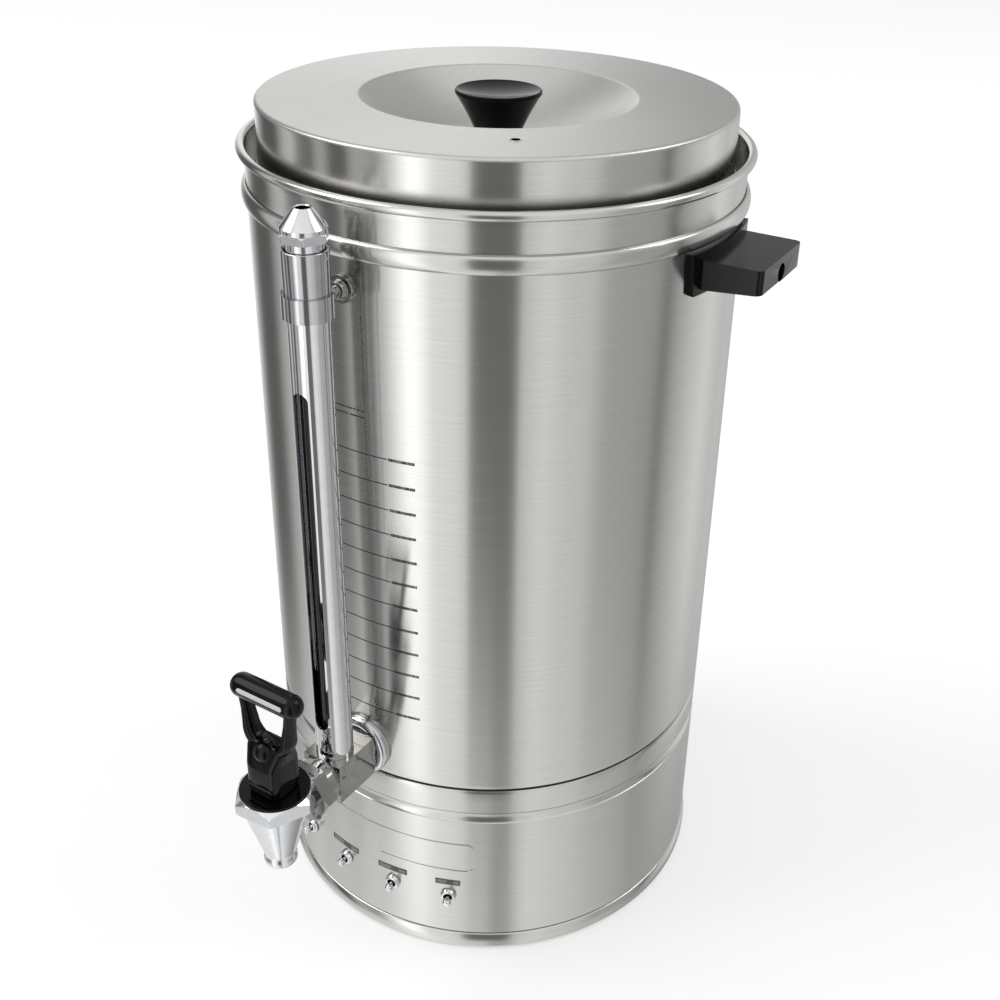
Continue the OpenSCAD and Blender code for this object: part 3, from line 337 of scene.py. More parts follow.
def softened(node, width, material, body, segments):
    # a merged copy of a CAD node whose edges sharper than 30 degrees are rounded by the given width in mm
    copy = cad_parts[node].data.copy()
    copy.materials.clear()
    b = bmesh.new()
    b.from_mesh(copy)
    bmesh.ops.remove_doubles(b, verts=b.verts, dist=0.00002)
    bmesh.ops.dissolve_limit(b, angle_limit=math.radians(1.0), verts=b.verts, edges=b.edges)
    b.to_mesh(copy)
    b.free()
    copy.polygons.foreach_set("use_smooth", np.ones(len(copy.polygons), bool))
    copy.set_sharp_from_angle(angle=math.radians(35))
    copy.materials.append(material)
    obj = bpy.data.objects.new(node + "Dressed", copy)
    bpy.context.scene.collection.objects.link(obj)
    bevel = obj.modifiers.new("edge", "BEVEL")
    bevel.width = width * mm
    bevel.segments = segments
    bevel.limit_method = "ANGLE"
    bevel.angle_limit = math.radians(30)
    bevel.harden_normals = True
    bevel.use_clamp_overlap = True
    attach(obj, body)
    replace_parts(obj, node)
    return obj


# the drum

drum = dict(lines=12, firstLine=193.0, lineStep=16.4, thinFrom=-3.5, thinTo=9.6, thickFrom=9.9, thickTo=16.1,
            thinHalf=0.36, thickHalf=0.92, shortLines=(400.0, 396.0), shortFrom=-3.4, shortTo=4.6,
            shortHalf=0.45, inkOut=0.05, inkDeep=0.04)


def beadOutline():
    # the bead: r grows by the bead's height times a power of sin, z runs with 1 - cos
    a = np.linspace(0, math.pi * 0.97, 40)
    return np.stack([urn["bodyR"] + urn["beadOut"] * np.sin(a) ** 0.8,
                     urn["beadLow"] + (urn["beadHigh"] - urn["beadLow"]) * (1 - np.cos(a)) / 2], -1)


def drumSkin():
    # a closed outline carried round: an inward flange with a rounded foot, a straight wall and the bead
    r, low = urn["bodyR"], urn["seamHigh"]
    foot = [[r - 10, low], [r - 1.6, low], [r - 0.6, low + 0.2], [r - 0.12, low + 0.7], [r, low + 1.6]]
    wall = np.stack([np.full(24, r), np.linspace(low + 4, 486, 24)], -1)
    inner = [[r - 1, 496.0], [r - 1, low + 1], [r - 10, low + 1]]
    outline = np.concatenate([foot, wall, beadOutline(), inner])
    skin = lathe("drumSkin", outline, steelRound, "urn", steps=384)
    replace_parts(skin, "outer_shell")


def onDrum(r, az, z):
    # the point at an angle and a height on a cylinder about the urn: x = r sin a, y = -r cos a
    a = np.radians(az)
    return np.stack([r * np.sin(a), -r * np.cos(a), z + 0 * a], -1)


def patches(name, items, r, material, cols=10):
    # many patches, each over an angle and a height range, as one shallow mesh with front and back skins
    face, n = gridFaces(2, cols, False, False), 2 * cols
    rim = np.concatenate([np.arange(cols), np.arange(n - 1, cols - 1, -1)])
    sides = np.stack([rim, np.roll(rim, -1), np.roll(rim, -1) + n, rim + n], -1)
    block = np.concatenate([face[:, ::-1], face + n, sides])
    points = []
    for az0, az1, z0, z1 in items:
        az, z = np.meshgrid(np.linspace(az0, az1, cols), [z0, z1])
        points += [onDrum(r, az, z).reshape(-1, 3), onDrum(r - drum["inkDeep"], az, z).reshape(-1, 3)]
    quads = np.concatenate([block + 2 * n * k for k in range(len(items))])
    return meshFrom(name, np.concatenate(points), quads, material, "urn", sharp=None)


def dashes(rng, start, stop, count, least, most, z, half):
    # a line broken into equal steps, each filled from its start by a random share
    edge = np.linspace(start, stop, count + 1)
    wide = rng.uniform(least, most, count)
    return [(edge[i], edge[i] + (edge[i + 1] - edge[i]) * wide[i], z - half, z + half) for i in range(count)]


def levelMarks():
    # evenly spaced level lines, plain, each with a heavier broken end, and two short upper marks
    rng = np.random.default_rng(7)
    items = []
    for k in range(drum["lines"]):
        z = drum["firstLine"] + k * drum["lineStep"]
        items.append((drum["thinFrom"], drum["thinTo"], z - drum["thinHalf"], z + drum["thinHalf"]))
        items += dashes(rng, drum["thickFrom"], drum["thickTo"], 14, 0.72, 0.95, z, drum["thickHalf"])
    for z in drum["shortLines"]:
        items += dashes(rng, drum["shortFrom"], drum["shortTo"], 8, 0.55, 0.98, z, drum["shortHalf"])
    patches("levelMarks", items, urn["bodyR"] + drum["inkOut"], etchInk, cols=6)


drumSkin()
levelMarks()
print("drum done")


# the electric base

stub = dict(step=15.2, tilt=16.0, z=47.5, length=7.4, tipR=2.8, noseR=1.3)
base = dict(grooveZ=117.4, grooveHigh=9.0, grooveIn=1.8, labelZ=58.5, labelHigh=4.8, panelLow=69.6,
            panelHigh=93.0, panelFrom=4.0, panelTo=29.3, panelOpen=-24.0, panelCorner=5.0, lineR=0.42)


def baseSkin():
    # a closed outline carried round: a straight wall with a pressed groove, a power of a sine deep
    r, g, top = urn["bodyR"], base["grooveHigh"] / 2, urn["seamLow"]
    a = np.linspace(0, math.pi, 28)
    groove = np.stack([r - base["grooveIn"] * np.sin(a) ** 1.4, base["grooveZ"] - g * np.cos(a)], -1)
    foot = [[r - 1, 13.2], [r - 0.4, 13.05], [r, 13.6]]
    wall = np.stack([np.full(12, r), np.linspace(15, 110, 12)], -1)
    head = [[r, 130], [r, 137.5], [r - 0.15, 139], [r - 0.7, 139.8], [r - 1.6, top], [r - 10, top]]
    inner = [[r - 10, 139], [r - 2, 139], [r - 1.2, 138], [r - 1.2, 124], [r - 3, 117.4], [r - 1.2, 110]]
    skin = lathe("baseSkin", np.concatenate([foot, wall, groove, head, inner]), steelRound, "urn", steps=384)
    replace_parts(skin, "base_skirt")


def footRing():
    # the rolled foot under the skirt: a rounded band that stands a little proud
    r = urn["bodyR"]
    outline = eased([[r - 2.5, 1.6], [r + 1.4, 1.6], [r + 1.6, 8.2], [r + 0.2, 12.3], [r - 2.5, 12.3]],
                    [0.2, 1.2, 3.0, 1.4, 0.2], 7)
    ring = lathe("footRing", outline, steelRound, "urn", steps=384)


def panelOutline():
    # a fine pressed line on the base: a thin round bead carried along an open rounded rectangle, with a
    # darker one just above it for its shaded side
    z0, z1, a0, a1 = base["panelLow"], base["panelHigh"], base["panelFrom"], base["panelTo"]
    corner, t = base["panelCorner"], np.radians(np.linspace(0, 90, 10))
    bend = corner * degPerMm
    top = np.stack([np.linspace(base["panelOpen"], a1 - bend, 60), np.full(60, z1)], -1)
    upper = np.stack([a1 - bend * (1 - np.sin(t)), z1 - corner * (1 - np.cos(t))], -1)
    lower = np.stack([a1 - bend * (1 - np.cos(t)), z0 + corner * (1 - np.sin(t))], -1)
    bottom = np.stack([np.linspace(a1 - bend, a0, 30), np.full(30, z0)], -1)
    side = np.stack([np.full(16, a0), np.linspace(z0, z1, 16)], -1)
    loop = np.concatenate([top, upper[1:], lower, bottom[1:]])
    for name, line in (("panelLineA", loop), ("panelLineB", side)):
        for tag, lift, thick, sunk, material in (("", 0.0, base["lineR"], 0.12, steelRound),
                                                 ("Shade", 0.52, 0.26, 0.1, pressShade)):
            path = onDrum(urn["bodyR"] - sunk, line[:, 0], line[:, 1] + lift)
            rings = tubeAlong(path, (thick, thick), sides=8, across=(0, -1, 0.001))
            meshFrom(name + tag, rings, gridFaces(len(path), 8, False, True), material, "urn")


def switchLabels():
    # small plain bars above the switches, as (middle angle, width), each with two paler marks on it
    z, h = base["labelZ"], base["labelHigh"] / 2
    items = [(mid - width / 2 * degPerMm, mid + width / 2 * degPerMm, z - h, z + h)
             for mid, width in ((-8.1, 25), (7.4, 22), (22.6, 17))]
    patches("switchLabels", items, urn["bodyR"] + drum["inkOut"], labelInk)
    pale = [(a0 + (a1 - a0) * u0, a0 + (a1 - a0) * u1, z0 + 0.9, z1 - 0.9)
            for a0, a1, z0, z1 in items for u0, u1 in ((0.05, 0.44), (0.72, 0.95))]
    patches("switchLabelsPale", pale, urn["bodyR"] + drum["inkOut"] + drum["inkDeep"], labelPale)


def stubLevers():
    # each switch's stub: a neck and a round-ended barrel, turned about an axis that hangs below level
    tilt = math.radians(stub["tilt"])
    t = np.radians(np.linspace(0, 90, 10))
    r, long, soft = stub["tipR"], stub["length"], stub["noseR"]
    nose = np.stack([r - soft + soft * np.cos(t), long - soft + soft * np.sin(t)], -1)
    outline = np.concatenate([[[0.01, 0.2], [1.6, 0.2], [1.6, 2.6], [r - 0.3, 3.3], [r, 3.8]], nose,
                              [[0.01, long]]])
    for k in range(4):
        a = math.radians((k - 1.5) * stub["step"])
        out = Vector((math.sin(a), -math.cos(a), 0))
        axis = out * math.cos(tilt) - Vector((0, 0, 1)) * math.sin(tilt)
        side = Vector((math.cos(a), math.sin(a), 0))
        tag = str(k + 1)
        barrel = lathe("stubLever" + tag, outline, chrome, "switch_" + tag, steps=48, sharp=50)
        place = (out * (urn["bodyR"] + 1) + Vector((0, 0, stub["z"]))) * mm
        turn = Matrix((side, axis.cross(side), axis)).transposed().to_4x4()
        barrel.data.transform(Matrix.Translation(place) @ turn)
        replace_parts(barrel, "switch_lever_" + tag)


baseSkin()
footRing()
stubLevers()
panelOutline()
switchLabels()
print("base done")


# the tank, its collar and the rolled rim

def tankSkin():
    # the cup as one closed outline: floor, folded foot and wall
    r, t, z = urn["tankR"], urn["sheet"], urn["ledgeZ"]
    outline = [[0.01, 145], [r - 6, 145], [r - 2, 145.6], [r + t - 0.6, 147.5], [r + t, 151], [r + t, z - t],
               [r, z - t], [r, 151], [r - 1.4, 147.6], [r - 5, 146], [0.01, 146]]
    skin = lathe("tankSkin", outline, steelInner, "urn", steps=256)
    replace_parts(skin, "inner_tank")


def collarSkin():
    # a ledge and a collar whose edge is rolled outwards: the roll is a circle about the collar's own edge
    r, t, body, z = urn["tankR"], urn["sheet"], urn["bodyR"], urn["ledgeZ"]
    roll, rz = urn["rimRoll"], urn["rimZ"]
    a = np.radians(np.linspace(-150, 188, 44))
    rim = np.stack([body - t + roll + roll * np.cos(a), rz + roll * np.sin(a)], -1)
    outer = [[r, z - t], [body - 0.8, z - t], [body, z - t + 0.8], [body, z + 3], [body, 512], [body, 516]]
    inner = [[body - t, 515], [body - t, z + 0.8], [body - t - 0.8, z], [r + 0.6, z], [r, z - 0.3]]
    outline = np.concatenate([outer, rim, inner])
    skin = lathe("collarSkin", outline, steelRound, "urn", steps=384)
    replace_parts(skin, "tank_collar")


tankSkin()
collarSkin()
print("tank done")


# the lid

lid = dict(sideR=142.2, edge=2.4, dishR=82.5, dishDeep=26.5, dishFloor=20.0, knobTop=26.0, knobFoot=13.0,
           knobHigh=29.0, ventReach=107.0, ventAngle=38.0)


def lidSkin():
    # the lid's outline carried round: a side, a small round edge, a flat top and a dish that falls as a
    # power of the distance from its floor
    top, low, r, soft = urn["lidTop"], urn["lidZ"], lid["sideR"], lid["edge"]
    dishR, deep = lid["dishR"], lid["dishDeep"]
    u = np.linspace(0, 1, 60)
    dish = np.stack([lid["dishFloor"] + (dishR - lid["dishFloor"]) * u, top - deep + deep * u ** 1.6], -1)
    crisp = eased([dish[-4], [dishR, top], [dishR + 3, top]], [0, 1.2, 0], 8)[8:16]
    dish = np.concatenate([dish[:-3], crisp])
    a = np.radians(np.linspace(90, 0, 12))
    edge = np.stack([r - soft + soft * np.cos(a), top - soft + soft * np.sin(a)], -1)
    flat = np.stack([np.linspace(dishR + 3, r - soft - 1, 8), np.full(8, top)], -1)
    side = np.stack([np.full(8, r), np.linspace(top - 5, low, 8)], -1)
    under = [[r - 1, low], [r - 1, top - 3], [dishR + 2, top - 1.2]]
    outline = np.concatenate([[[3.1, top - deep]], dish, flat, edge, side, under,
                              (dish - [0, 1])[::-1][12::4], [[3.1, top - deep - 1]]])
    skin = lathe("lidSkin", outline, steelLid, "lid", steps=384, sharp=40)
    # the side is ground round the lid, the top straight across it
    skin.data.materials.append(steelRound)
    upright = np.zeros(len(outline), np.int32)
    start = 1 + len(dish) + len(flat) + len(edge) - 2
    upright[start:start + len(side) + 3] = 1
    skin.data.polygons.foreach_set("material_index", np.repeat(upright, 384))
    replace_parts(skin, "lid_cover")


def lidKnob():
    # a turned knob: a cone that flares to a thin lip, with a shallow dish in its top
    z, r0, r1, h = urn["lidTop"] - lid["dishDeep"], lid["knobFoot"], lid["knobTop"], lid["knobHigh"]
    u = np.linspace(0, 1, 24)
    side = np.stack([r0 + (r1 - r0) * (0.75 * u + 0.25 * u ** 2), z + 2 + (h - 4) * u], -1)
    a = np.radians(np.linspace(-30, 110, 14))
    lip = np.stack([r1 - 1.1 + 1.1 * np.cos(a), z + h - 1.1 + 1.1 * np.sin(a)], -1)
    v = np.linspace(0.06, 1, 24)
    dish = np.stack([(r1 - 1.4) * (1 - v) + 0.01, z + h - 0.1 - 3.1 * (1 - (1 - v) ** 2)], -1)
    outline = np.concatenate([[[0.01, z + 0.1], [r0 - 1.2, z + 0.1], [r0 - 0.3, z + 0.8]], side, lip, dish])
    knob = lathe("lidKnob", outline, phenolicKnob, "lid", steps=128)
    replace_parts(knob, "lid_knob")


def lidVent():
    # the vent's eyelet: a low round lip about a small dark hole
    a = math.radians(lid["ventAngle"])
    x, y, z = lid["ventReach"] * math.sin(a), -lid["ventReach"] * math.cos(a), urn["lidTop"]
    t = np.radians(np.linspace(0, 180, 14))
    lip = np.stack([2.95 + 0.45 * np.cos(t), z + 0.1 + 0.3 * np.sin(t)], -1)
    well = [[2.5, z - 0.2], [2.4, z + 0.05], [0.01, z + 0.05], [0.01, z - 0.6], [3.4, z - 0.6]]
    eyelet = lathe("ventEyelet", np.concatenate([lip, well]), steelRound, "lid", steps=48, centre=(x, y))
    disc = [[0.01, z + 0.34], [2.48, z + 0.34], [2.48, z + 0.1], [0.01, z + 0.1]]
    lathe("ventHole", disc, darkInside, "lid", steps=48, centre=(x, y))
    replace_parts(eyelet, "vent_tube")


lidSkin()
lidKnob()
lidVent()
print("lid done")


# the tap's lever

lever = dict(pinZ=193.8, barZ=251.8, barR=7.3, barHalf=17.9, legIn=14.4, legOut=17.6, legUp=33.5,
             legCurve=1.15, bendWide=9, bendHigh=11, legSize=(4.5, 2.5), legGrow=(1.6, 1.2), growFrom=14,
             growOver=18, bossR=7.2, bossUp=20.8, bossOut=4.6, lipR=0.9, lipHalf=9.2, lipOut=11.9,
             lipDown=1.6)
strip = dict(lean=13, sunk=0.1, start=-16.2, stop=17.2, middle=0.5, straight=15.3, round=1.42, thick=0.55,
             half=1.4)


def leverBar():
    # a capsule along X: a straight barrel with a half ball at each end
    a = np.radians(np.linspace(0, 90, 14))
    end = np.stack([lever["barR"] * np.sin(a), lever["barHalf"] + lever["barR"] * np.cos(a)], -1)
    end = np.maximum(end, [0.01, 0])
    bar = lathe("leverBar", np.concatenate([end, (end * [1, -1])[::-1]]), phenolicGloss, "lever", steps=64,
                centre=(urn["tapY"], lever["barZ"]), axis="X", sharp=60)
    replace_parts(bar, "tap_lever")


def leverFork():
    # one rounded section carried round a U: two legs that lean outwards as a power of the height and turn
    # in below on a quarter ellipse; the section grows towards the foot
    wide, high, bend = lever["bendWide"], lever["bendHigh"], np.radians(np.linspace(0, 90, 16))
    foot = np.array([lever["legIn"], lever["legUp"]])
    head = np.array([lever["legOut"], lever["barZ"] - lever["pinZ"]])
    leg = foot + (head - foot) * np.linspace(1, 0, 22)[:-1, None] ** lever["legCurve"]
    turn = np.stack([foot[0] - wide + wide * np.cos(bend), foot[1] - high * np.sin(bend)], -1)
    right = np.concatenate([leg, turn, [[2.5, foot[1] - high - 0.2]]])
    half = np.stack([right[:, 0], np.full(len(right), urn["tapY"]), lever["pinZ"] + right[:, 1]], -1)
    path = np.concatenate([half, (half * [-1, 1, 1])[::-1]])
    grow = np.clip((half[:, 2].max() - half[:, 2] - lever["growFrom"]) / lever["growOver"], 0, 1)
    size = np.array(lever["legSize"]) + np.array(lever["legGrow"]) * grow[:, None]
    rings = tubeAlong(path, np.concatenate([size, size[::-1]]), sides=32, power=2.7)
    closedTube("leverFork", rings, phenolicGloss, "lever")


def leverHub():
    # a rounded block that grows into the fork: superellipse rings, each (up from the pin, half depth, half
    # width), with straight blends between them
    shape = np.array([[-8.5, 9.6, 10.2], [-8.3, 10.6, 11.0], [-7.6, 11.2, 11.4], [-5, 11.9, 11.5],
                      [4, 12, 11.5], [12.5, 11.9, 11.6], [15, 11.2, 11.9], [18, 9.9, 12.5], [21.5, 8.3, 13.3],
                      [24, 6.8, 13.6], [25.8, 5.2, 12.4], [26.6, 3.0, 8.0]])
    up, along = np.linspace(0, 1, 60), np.linspace(0, 1, len(shape))
    hub = np.stack([np.interp(up, along, shape[:, k]) for k in range(3)], -1)
    path = np.stack([0 * up, urn["tapY"] + 0 * up, lever["pinZ"] + hub[:, 0]], -1)
    closedTube("leverHub", tubeAlong(path, hub[:, 1:], sides=64, power=5.0), phenolicGloss, "lever")


def leverStrip():
    # the pale strip set into the bar's front: a flat section that narrows to round ends
    lean, out = math.radians(strip["lean"]), lever["barR"] - strip["sunk"]
    y, z = urn["tapY"] - out * math.cos(lean), lever["barZ"] + out * math.sin(lean)
    path = np.stack([np.linspace(strip["start"], strip["stop"], 40), np.full(40, y), np.full(40, z)], -1)
    past = (np.abs(path[:, 0] - strip["middle"]) - strip["straight"]).clip(0)
    ends = np.sqrt(np.clip(1 - past ** 2 / strip["round"] ** 2, 0.0, 1))
    rings = tubeAlong(path, np.stack([strip["thick"] + 0 * ends, strip["half"] * ends], -1), sides=24,
                      power=3.0, across=(0, math.cos(lean), -math.sin(lean)))
    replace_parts(closedTube("leverStrip", rings, whiteAbs, "lever"), "lever_insert")


def leverFront():
    # a ball for the round boss on the hub's front, and a thin rod for the lip under the front panel
    y, z, r, half = urn["tapY"], lever["pinZ"], lever["bossR"], lever["lipHalf"]
    t = np.radians(np.linspace(-89.9, 89.9, 24))
    boss = np.stack([r * np.cos(t), z + lever["bossUp"] + r * np.sin(t)], -1)
    lathe("leverBoss", boss, phenolicGloss, "lever", steps=48, centre=(0, y - lever["bossOut"]), sharp=60)
    path = np.stack([np.linspace(-half, half, 16), np.full(16, y - lever["lipOut"]),
                     np.full(16, z - lever["lipDown"])], -1)
    rings = tubeAlong(path, (lever["lipR"], lever["lipR"]), sides=12)
    closedTube("leverLip", rings, phenolicGloss, "lever")


leverBar()
leverFork()
leverHub()
leverStrip()
leverFront()
print("lever done")


# the chromed fittings

tap = dict(bonnetLow=174.6, bonnetTop=184.0, bonnetTurn=4.0, flats=43.0, capR=20.8, coneLow=136.0,
           coneHigh=173.4, coneLowR=9.8, coneTopR=20.5, spoutZ=127.0, lipR=10.2, bore=6.5, neck=7.9,
           waterZ=160.0, tailR=11.0, tailFrom=200.0, nutFrom=193.0, nutHexFrom=199.0, nutTo=209.0,
           nutFlats=34.0, bonnetCut=3.1, nutCut=2.2, tailStop=12.4)
sight = dict(sleeveLow=468.0, sleeveTop=500.0, sleeveR=12.4, hexLow=504.6, hexTop=509.2, hexFlats=23.6,
             hexTurn=6.0, collarR=12.4, capTop=521.5, capTopR=4.9)
spring = dict(wire=0.7, turns=5, lift=4.6)


def bonnet():
    # a hexagon whose top corners are turned off in a cone
    top, low, corner = tap["bonnetTop"], tap["bonnetLow"], cornerOf(tap["flats"])
    u = np.linspace(0, 1, 14)
    cut = tap["bonnetCut"]
    turned = np.stack([corner + 0.05 + (tap["capR"] + 0.5 - corner) * u, top - cut + cut * u], -1)
    seat = [[tap["capR"] + 0.15, top], [tap["capR"] + 0.15, top - 1.5], [17.2, top - 1.5]]
    outline = np.concatenate([[[17.2, low], [corner - 0.8, low], [corner + 0.05, low + 0.4]], turned, seat])
    piece = hexTurned("tapBonnet", outline, tap["flats"], (low - 1, top + 1), chrome, "urn",
                      turn=tap["bonnetTurn"], centre=(0, urn["tapY"]))
    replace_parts(piece, "tap_bonnet")


def tapBody():
    # a straight cone under the bonnet, with a round tail that runs back to the union
    low, neck = tap["coneLow"], tap["neck"]
    u = np.linspace(0, 1, 20)
    cone = np.stack([tap["coneLowR"] + (tap["coneTopR"] - tap["coneLowR"]) * u,
                     low + (tap["coneHigh"] - low) * u], -1)
    inner = [[tap["coneTopR"] - 0.3, 174.3], [17, 174.5], [17, 176], [11.6, 176], [11.6, 152], [neck, 152]]
    cone = lathe("tapCone", np.concatenate([[[neck, low]], cone, inner]), chrome, "urn", steps=128,
                 centre=(0, urn["tapY"]), sharp=30)
    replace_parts(cone, "tap_body")
    start, end, r = tap["tailFrom"], -urn["tapY"] - tap["tailStop"], tap["tailR"]
    tail = [[5.5, start], [13, start], [13, start + 3], [r, start + 3], [r, end], [5.5, end]]
    lathe("tapTail", eased(tail, 0.3, 3), shadedPlate, "urn", steps=96, centre=(0, tap["waterZ"]), axis="Y")


def tapSpout():
    # a turned tube whose lip swells a little and is rounded under
    z, r, bore, neck, low = tap["spoutZ"], tap["lipR"], tap["bore"], tap["neck"], tap["coneLow"]
    lip = [[bore, z + 0.3], [r - 1.5, z], [r - 0.1, z + 1.6], [r, z + 4.6], [tap["coneLowR"] - 0.12, z + 7.2],
           [tap["coneLowR"] - 0.02, low], [neck, low], [neck, 149.9], [bore, 149.9]]
    spout = lathe("tapSpout", eased(lip, [0.3, 0.8, 1.2, 1.6, 0.8, 0, 0, 0, 0], 5), chrome, "urn", steps=128,
                  centre=(0, urn["tapY"]), sharp=30)
    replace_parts(spout, "tap_spout")


def unionNut():
    # a round skirt towards the block and a hexagon whose front corners are turned off
    back, low, top, corner = tap["nutFrom"], tap["nutHexFrom"], tap["nutTo"], cornerOf(tap["nutFlats"])
    u = np.linspace(0, 1, 10)
    cut = tap["nutCut"]
    turned = np.stack([corner + 0.05 + (17.4 - corner) * u, top - cut + cut * u], -1)
    skirt = [[13.1, back], [15.8, back], [16.2, back + 0.4], [16.2, low - 0.1], [corner - 0.6, low],
             [corner + 0.05, low + 0.5]]
    face = [[16.9, top], [11.3, top], [11.3, top - 5], [13.1, top - 5]]
    piece = hexTurned("unionNut", np.concatenate([skirt, turned, face]), tap["nutFlats"],
                      (low - 0.05, top + 1), shadedPlate, "urn", centre=(0, tap["waterZ"]), axis="Y")
    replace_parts(piece, "union_nut")


def gaugeTop():
    # a plain sleeve; the cap has a neck, a hexagon, a turned collar and a cone with a bore
    low, top, r = sight["sleeveLow"], sight["sleeveTop"], sight["sleeveR"]
    sleeve = [[11.6, low], [r, low], [r, top], [10.9, top], [10.9, 477], [11.6, 477]]
    sleeve = lathe("gaugeSleeve", eased(sleeve, [0.1, 0.3, 0.5, 0.3, 0, 0], 4), shadedChromeTube, "urn", steps=128,
                   centre=(0, urn["gaugeY"]), sharp=30)
    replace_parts(sleeve, "gauge_sleeve")
    h0, h1, c, tip, tipZ = (sight[key] for key in ("hexLow", "hexTop", "collarR", "capTopR", "capTop"))
    corner = cornerOf(sight["hexFlats"])
    outline = [[3.6, 492.5], [9.5, 492.5], [9.5, 499.5], [10.3, 499.6], [10.3, h0 - 0.1], [corner - 1.0, h0],
               [corner - 0.5, h0 + 0.3], [corner, h0 + 0.7], [corner, h1 - 0.7], [corner - 0.5, h1 - 0.3],
               [corner - 1.0, h1], [c - 0.1, h1 + 0.1], [c, h1 + 0.3], [c, h1 + 2.5], [c - 0.3, h1 + 2.9],
               [tip + 0.3, tipZ - 0.4], [tip - 0.1, tipZ], [4.2, tipZ], [3.7, tipZ - 0.5], [3.6, 514]]
    cap = hexTurned("gaugeCap", outline, sight["hexFlats"], (h0 - 0.05, h1 + 0.05), chrome, "cap",
                    turn=sight["hexTurn"], centre=(0, urn["gaugeY"]))
    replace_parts(cap, "gauge_cap")


def closingSpring():
    # a helix of round wire over the seat cup, built at its rest length; the stem's lift would shorten it
    low, high = np.array(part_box("tap_spring")) / mm
    wire = spring["wire"]
    coil = (high[0] - low[0]) / 2 - wire
    turn = np.linspace(0, spring["turns"] * 2 * np.pi, 181)
    height = np.linspace(low[2] + wire, high[2] - wire, len(turn))
    path = np.stack([coil * np.cos(turn), urn["tapY"] + coil * np.sin(turn), height], -1)
    coiled = closedTube("closingSpring", tubeAlong(path, (wire, wire), sides=10, across=(0, 0, 1)), zincPlate,
                        "urn")
    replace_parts(coiled, "tap_spring")
    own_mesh(coiled)


closingSpring()
bonnet()
tapBody()
tapSpout()
unionNut()
gaugeTop()
print("fittings done")


# small parts: rounded copies of CAD nodes (node, edge in mm, material, body, segments)

dressed = [
    ("gauge_block", 0.7, shadedPlate, "urn", 3), ("gauge_clamp", 0.35, shadedChromeTube, "urn", 2),
    ("clamp_stud", 0.4, shadedPlate, "urn", 2), ("dress_ring", 0.3, shadedChromeTube, "urn", 2),
    ("gauge_shield", 0.25, chrome, "urn", 2), ("tap_cap", 0.5, phenolicGloss, "urn", 2),
    ("grip_right", 1.6, phenolicSatin, "urn", 4), ("grip_left", 1.6, phenolicSatin, "urn", 4),
    ("saddle_right", 1.0, phenolicSatin, "urn", 3), ("saddle_left", 1.0, phenolicSatin, "urn", 3),
    ("base_pan", 0.3, steelRound, "urn", 2), ("switch_nuts", 0.25, chrome, "urn", 2),
    ("inlet_socket", 0.4, phenolicSatin, "urn", 2),
]
made = {row[0]: softened(*row) for row in dressed}
print("small parts rounded:", len(dressed))


def movePoints(obj, change):
    # new places for the points of a dressed copy, worked out in mm
    mesh = obj.data
    p = np.empty(len(mesh.vertices) * 3)
    mesh.vertices.foreach_get("co", p)
    p = change(p.reshape(-1, 3) / mm) * mm
    mesh.vertices.foreach_set("co", p.ravel())
    mesh.update()


# how the grips and saddles differ from the solids, measured again in the photograph: shares and mm
gripFit = dict(angle=92.0, reachFrom=165.0, reach=4.5, width=0.88, holeR=7.0, hole=1.15, rise=2.6,
               drawTop=0.96, drawFoot=0.05)


def gripReach(p):
    # all beyond a distance from the axis goes further out and the width shrinks, but the screw hole, which
    # lies near the middle line, grows
    sign = np.sign(p[:, 0].mean())
    a = math.radians(gripFit["angle"])
    out = np.array([math.sin(a) * sign, -math.cos(a), 0])
    side = np.array([math.cos(a) * sign, math.sin(a), 0])
    middle = (p[:, 2].min() + p[:, 2].max()) / 2
    away, aside, height = p @ out, p @ side, p[:, 2] - middle
    hole = np.hypot(aside, height) < gripFit["holeR"]
    aside = aside * np.where(hole, gripFit["hole"], gripFit["width"])
    height = height * np.where(hole, gripFit["hole"], 1.0) + middle
    away = away + np.where(away > gripFit["reachFrom"], gripFit["reach"], 0.0)
    return away[:, None] * out + aside[:, None] * side + height[:, None] * np.array([0, 0, 1])


def saddleTrim(p):
    # the lower edge rises and both ends draw in by a share of their angle that grows towards the foot
    middle = math.radians(gripFit["angle"]) * np.sign(p[:, 0].mean())
    a = np.arctan2(p[:, 0], -p[:, 1])
    r = np.hypot(p[:, 0], p[:, 1])
    low, high = p[:, 2].min(), p[:, 2].max()
    down = (high - p[:, 2]) / (high - low)
    a = middle + (a - middle) * (gripFit["drawTop"] - gripFit["drawFoot"] * down)
    return np.stack([r * np.sin(a), -r * np.cos(a), p[:, 2] + gripFit["rise"] * down], -1)


for side in ("right", "left"):
    movePoints(made["grip_" + side], gripReach)
    movePoints(made["saddle_" + side], saddleTrim)

plain = dict(
    tank_insulation=glassFibre, seam_gasket=footRubber, feet=footRubber, heater_plate=castAluminium,
    heating_element=elementSheath, thermostat=ivoryCeramic, thermal_cutout=turnedBrass, centre_stud=zincPlate,
    pan_nut=zincPlate, centre_pad=footRubber, terminal_block=ivoryCeramic, inlet_pins=turnedBrass,
    switch_bodies=phenolicSatin, tank_nipple=turnedBrass, tank_nut=turnedBrass, gauge_glass=boroGlass,
    glass_seals=footRubber, union_seal=siliconeSeal, tap_stem=zincPlate, seat_cup=siliconeSeal,
    lever_pin=zincPlate, lid_pan=steelInner, lid_core=glassFibre, lid_gasket=siliconeSeal,
    knob_screw=zincPlate, grip_screws=zincPlate, grip_nuts=zincPlate)
# a node that another piece stands for has a material too, but doesn't show
for nodeName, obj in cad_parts.items():
    obj.data.materials.clear()
    obj.data.materials.append(plain.get(nodeName, steelInner))
print("plain nodes:", len(plain))


# floor, light and camera

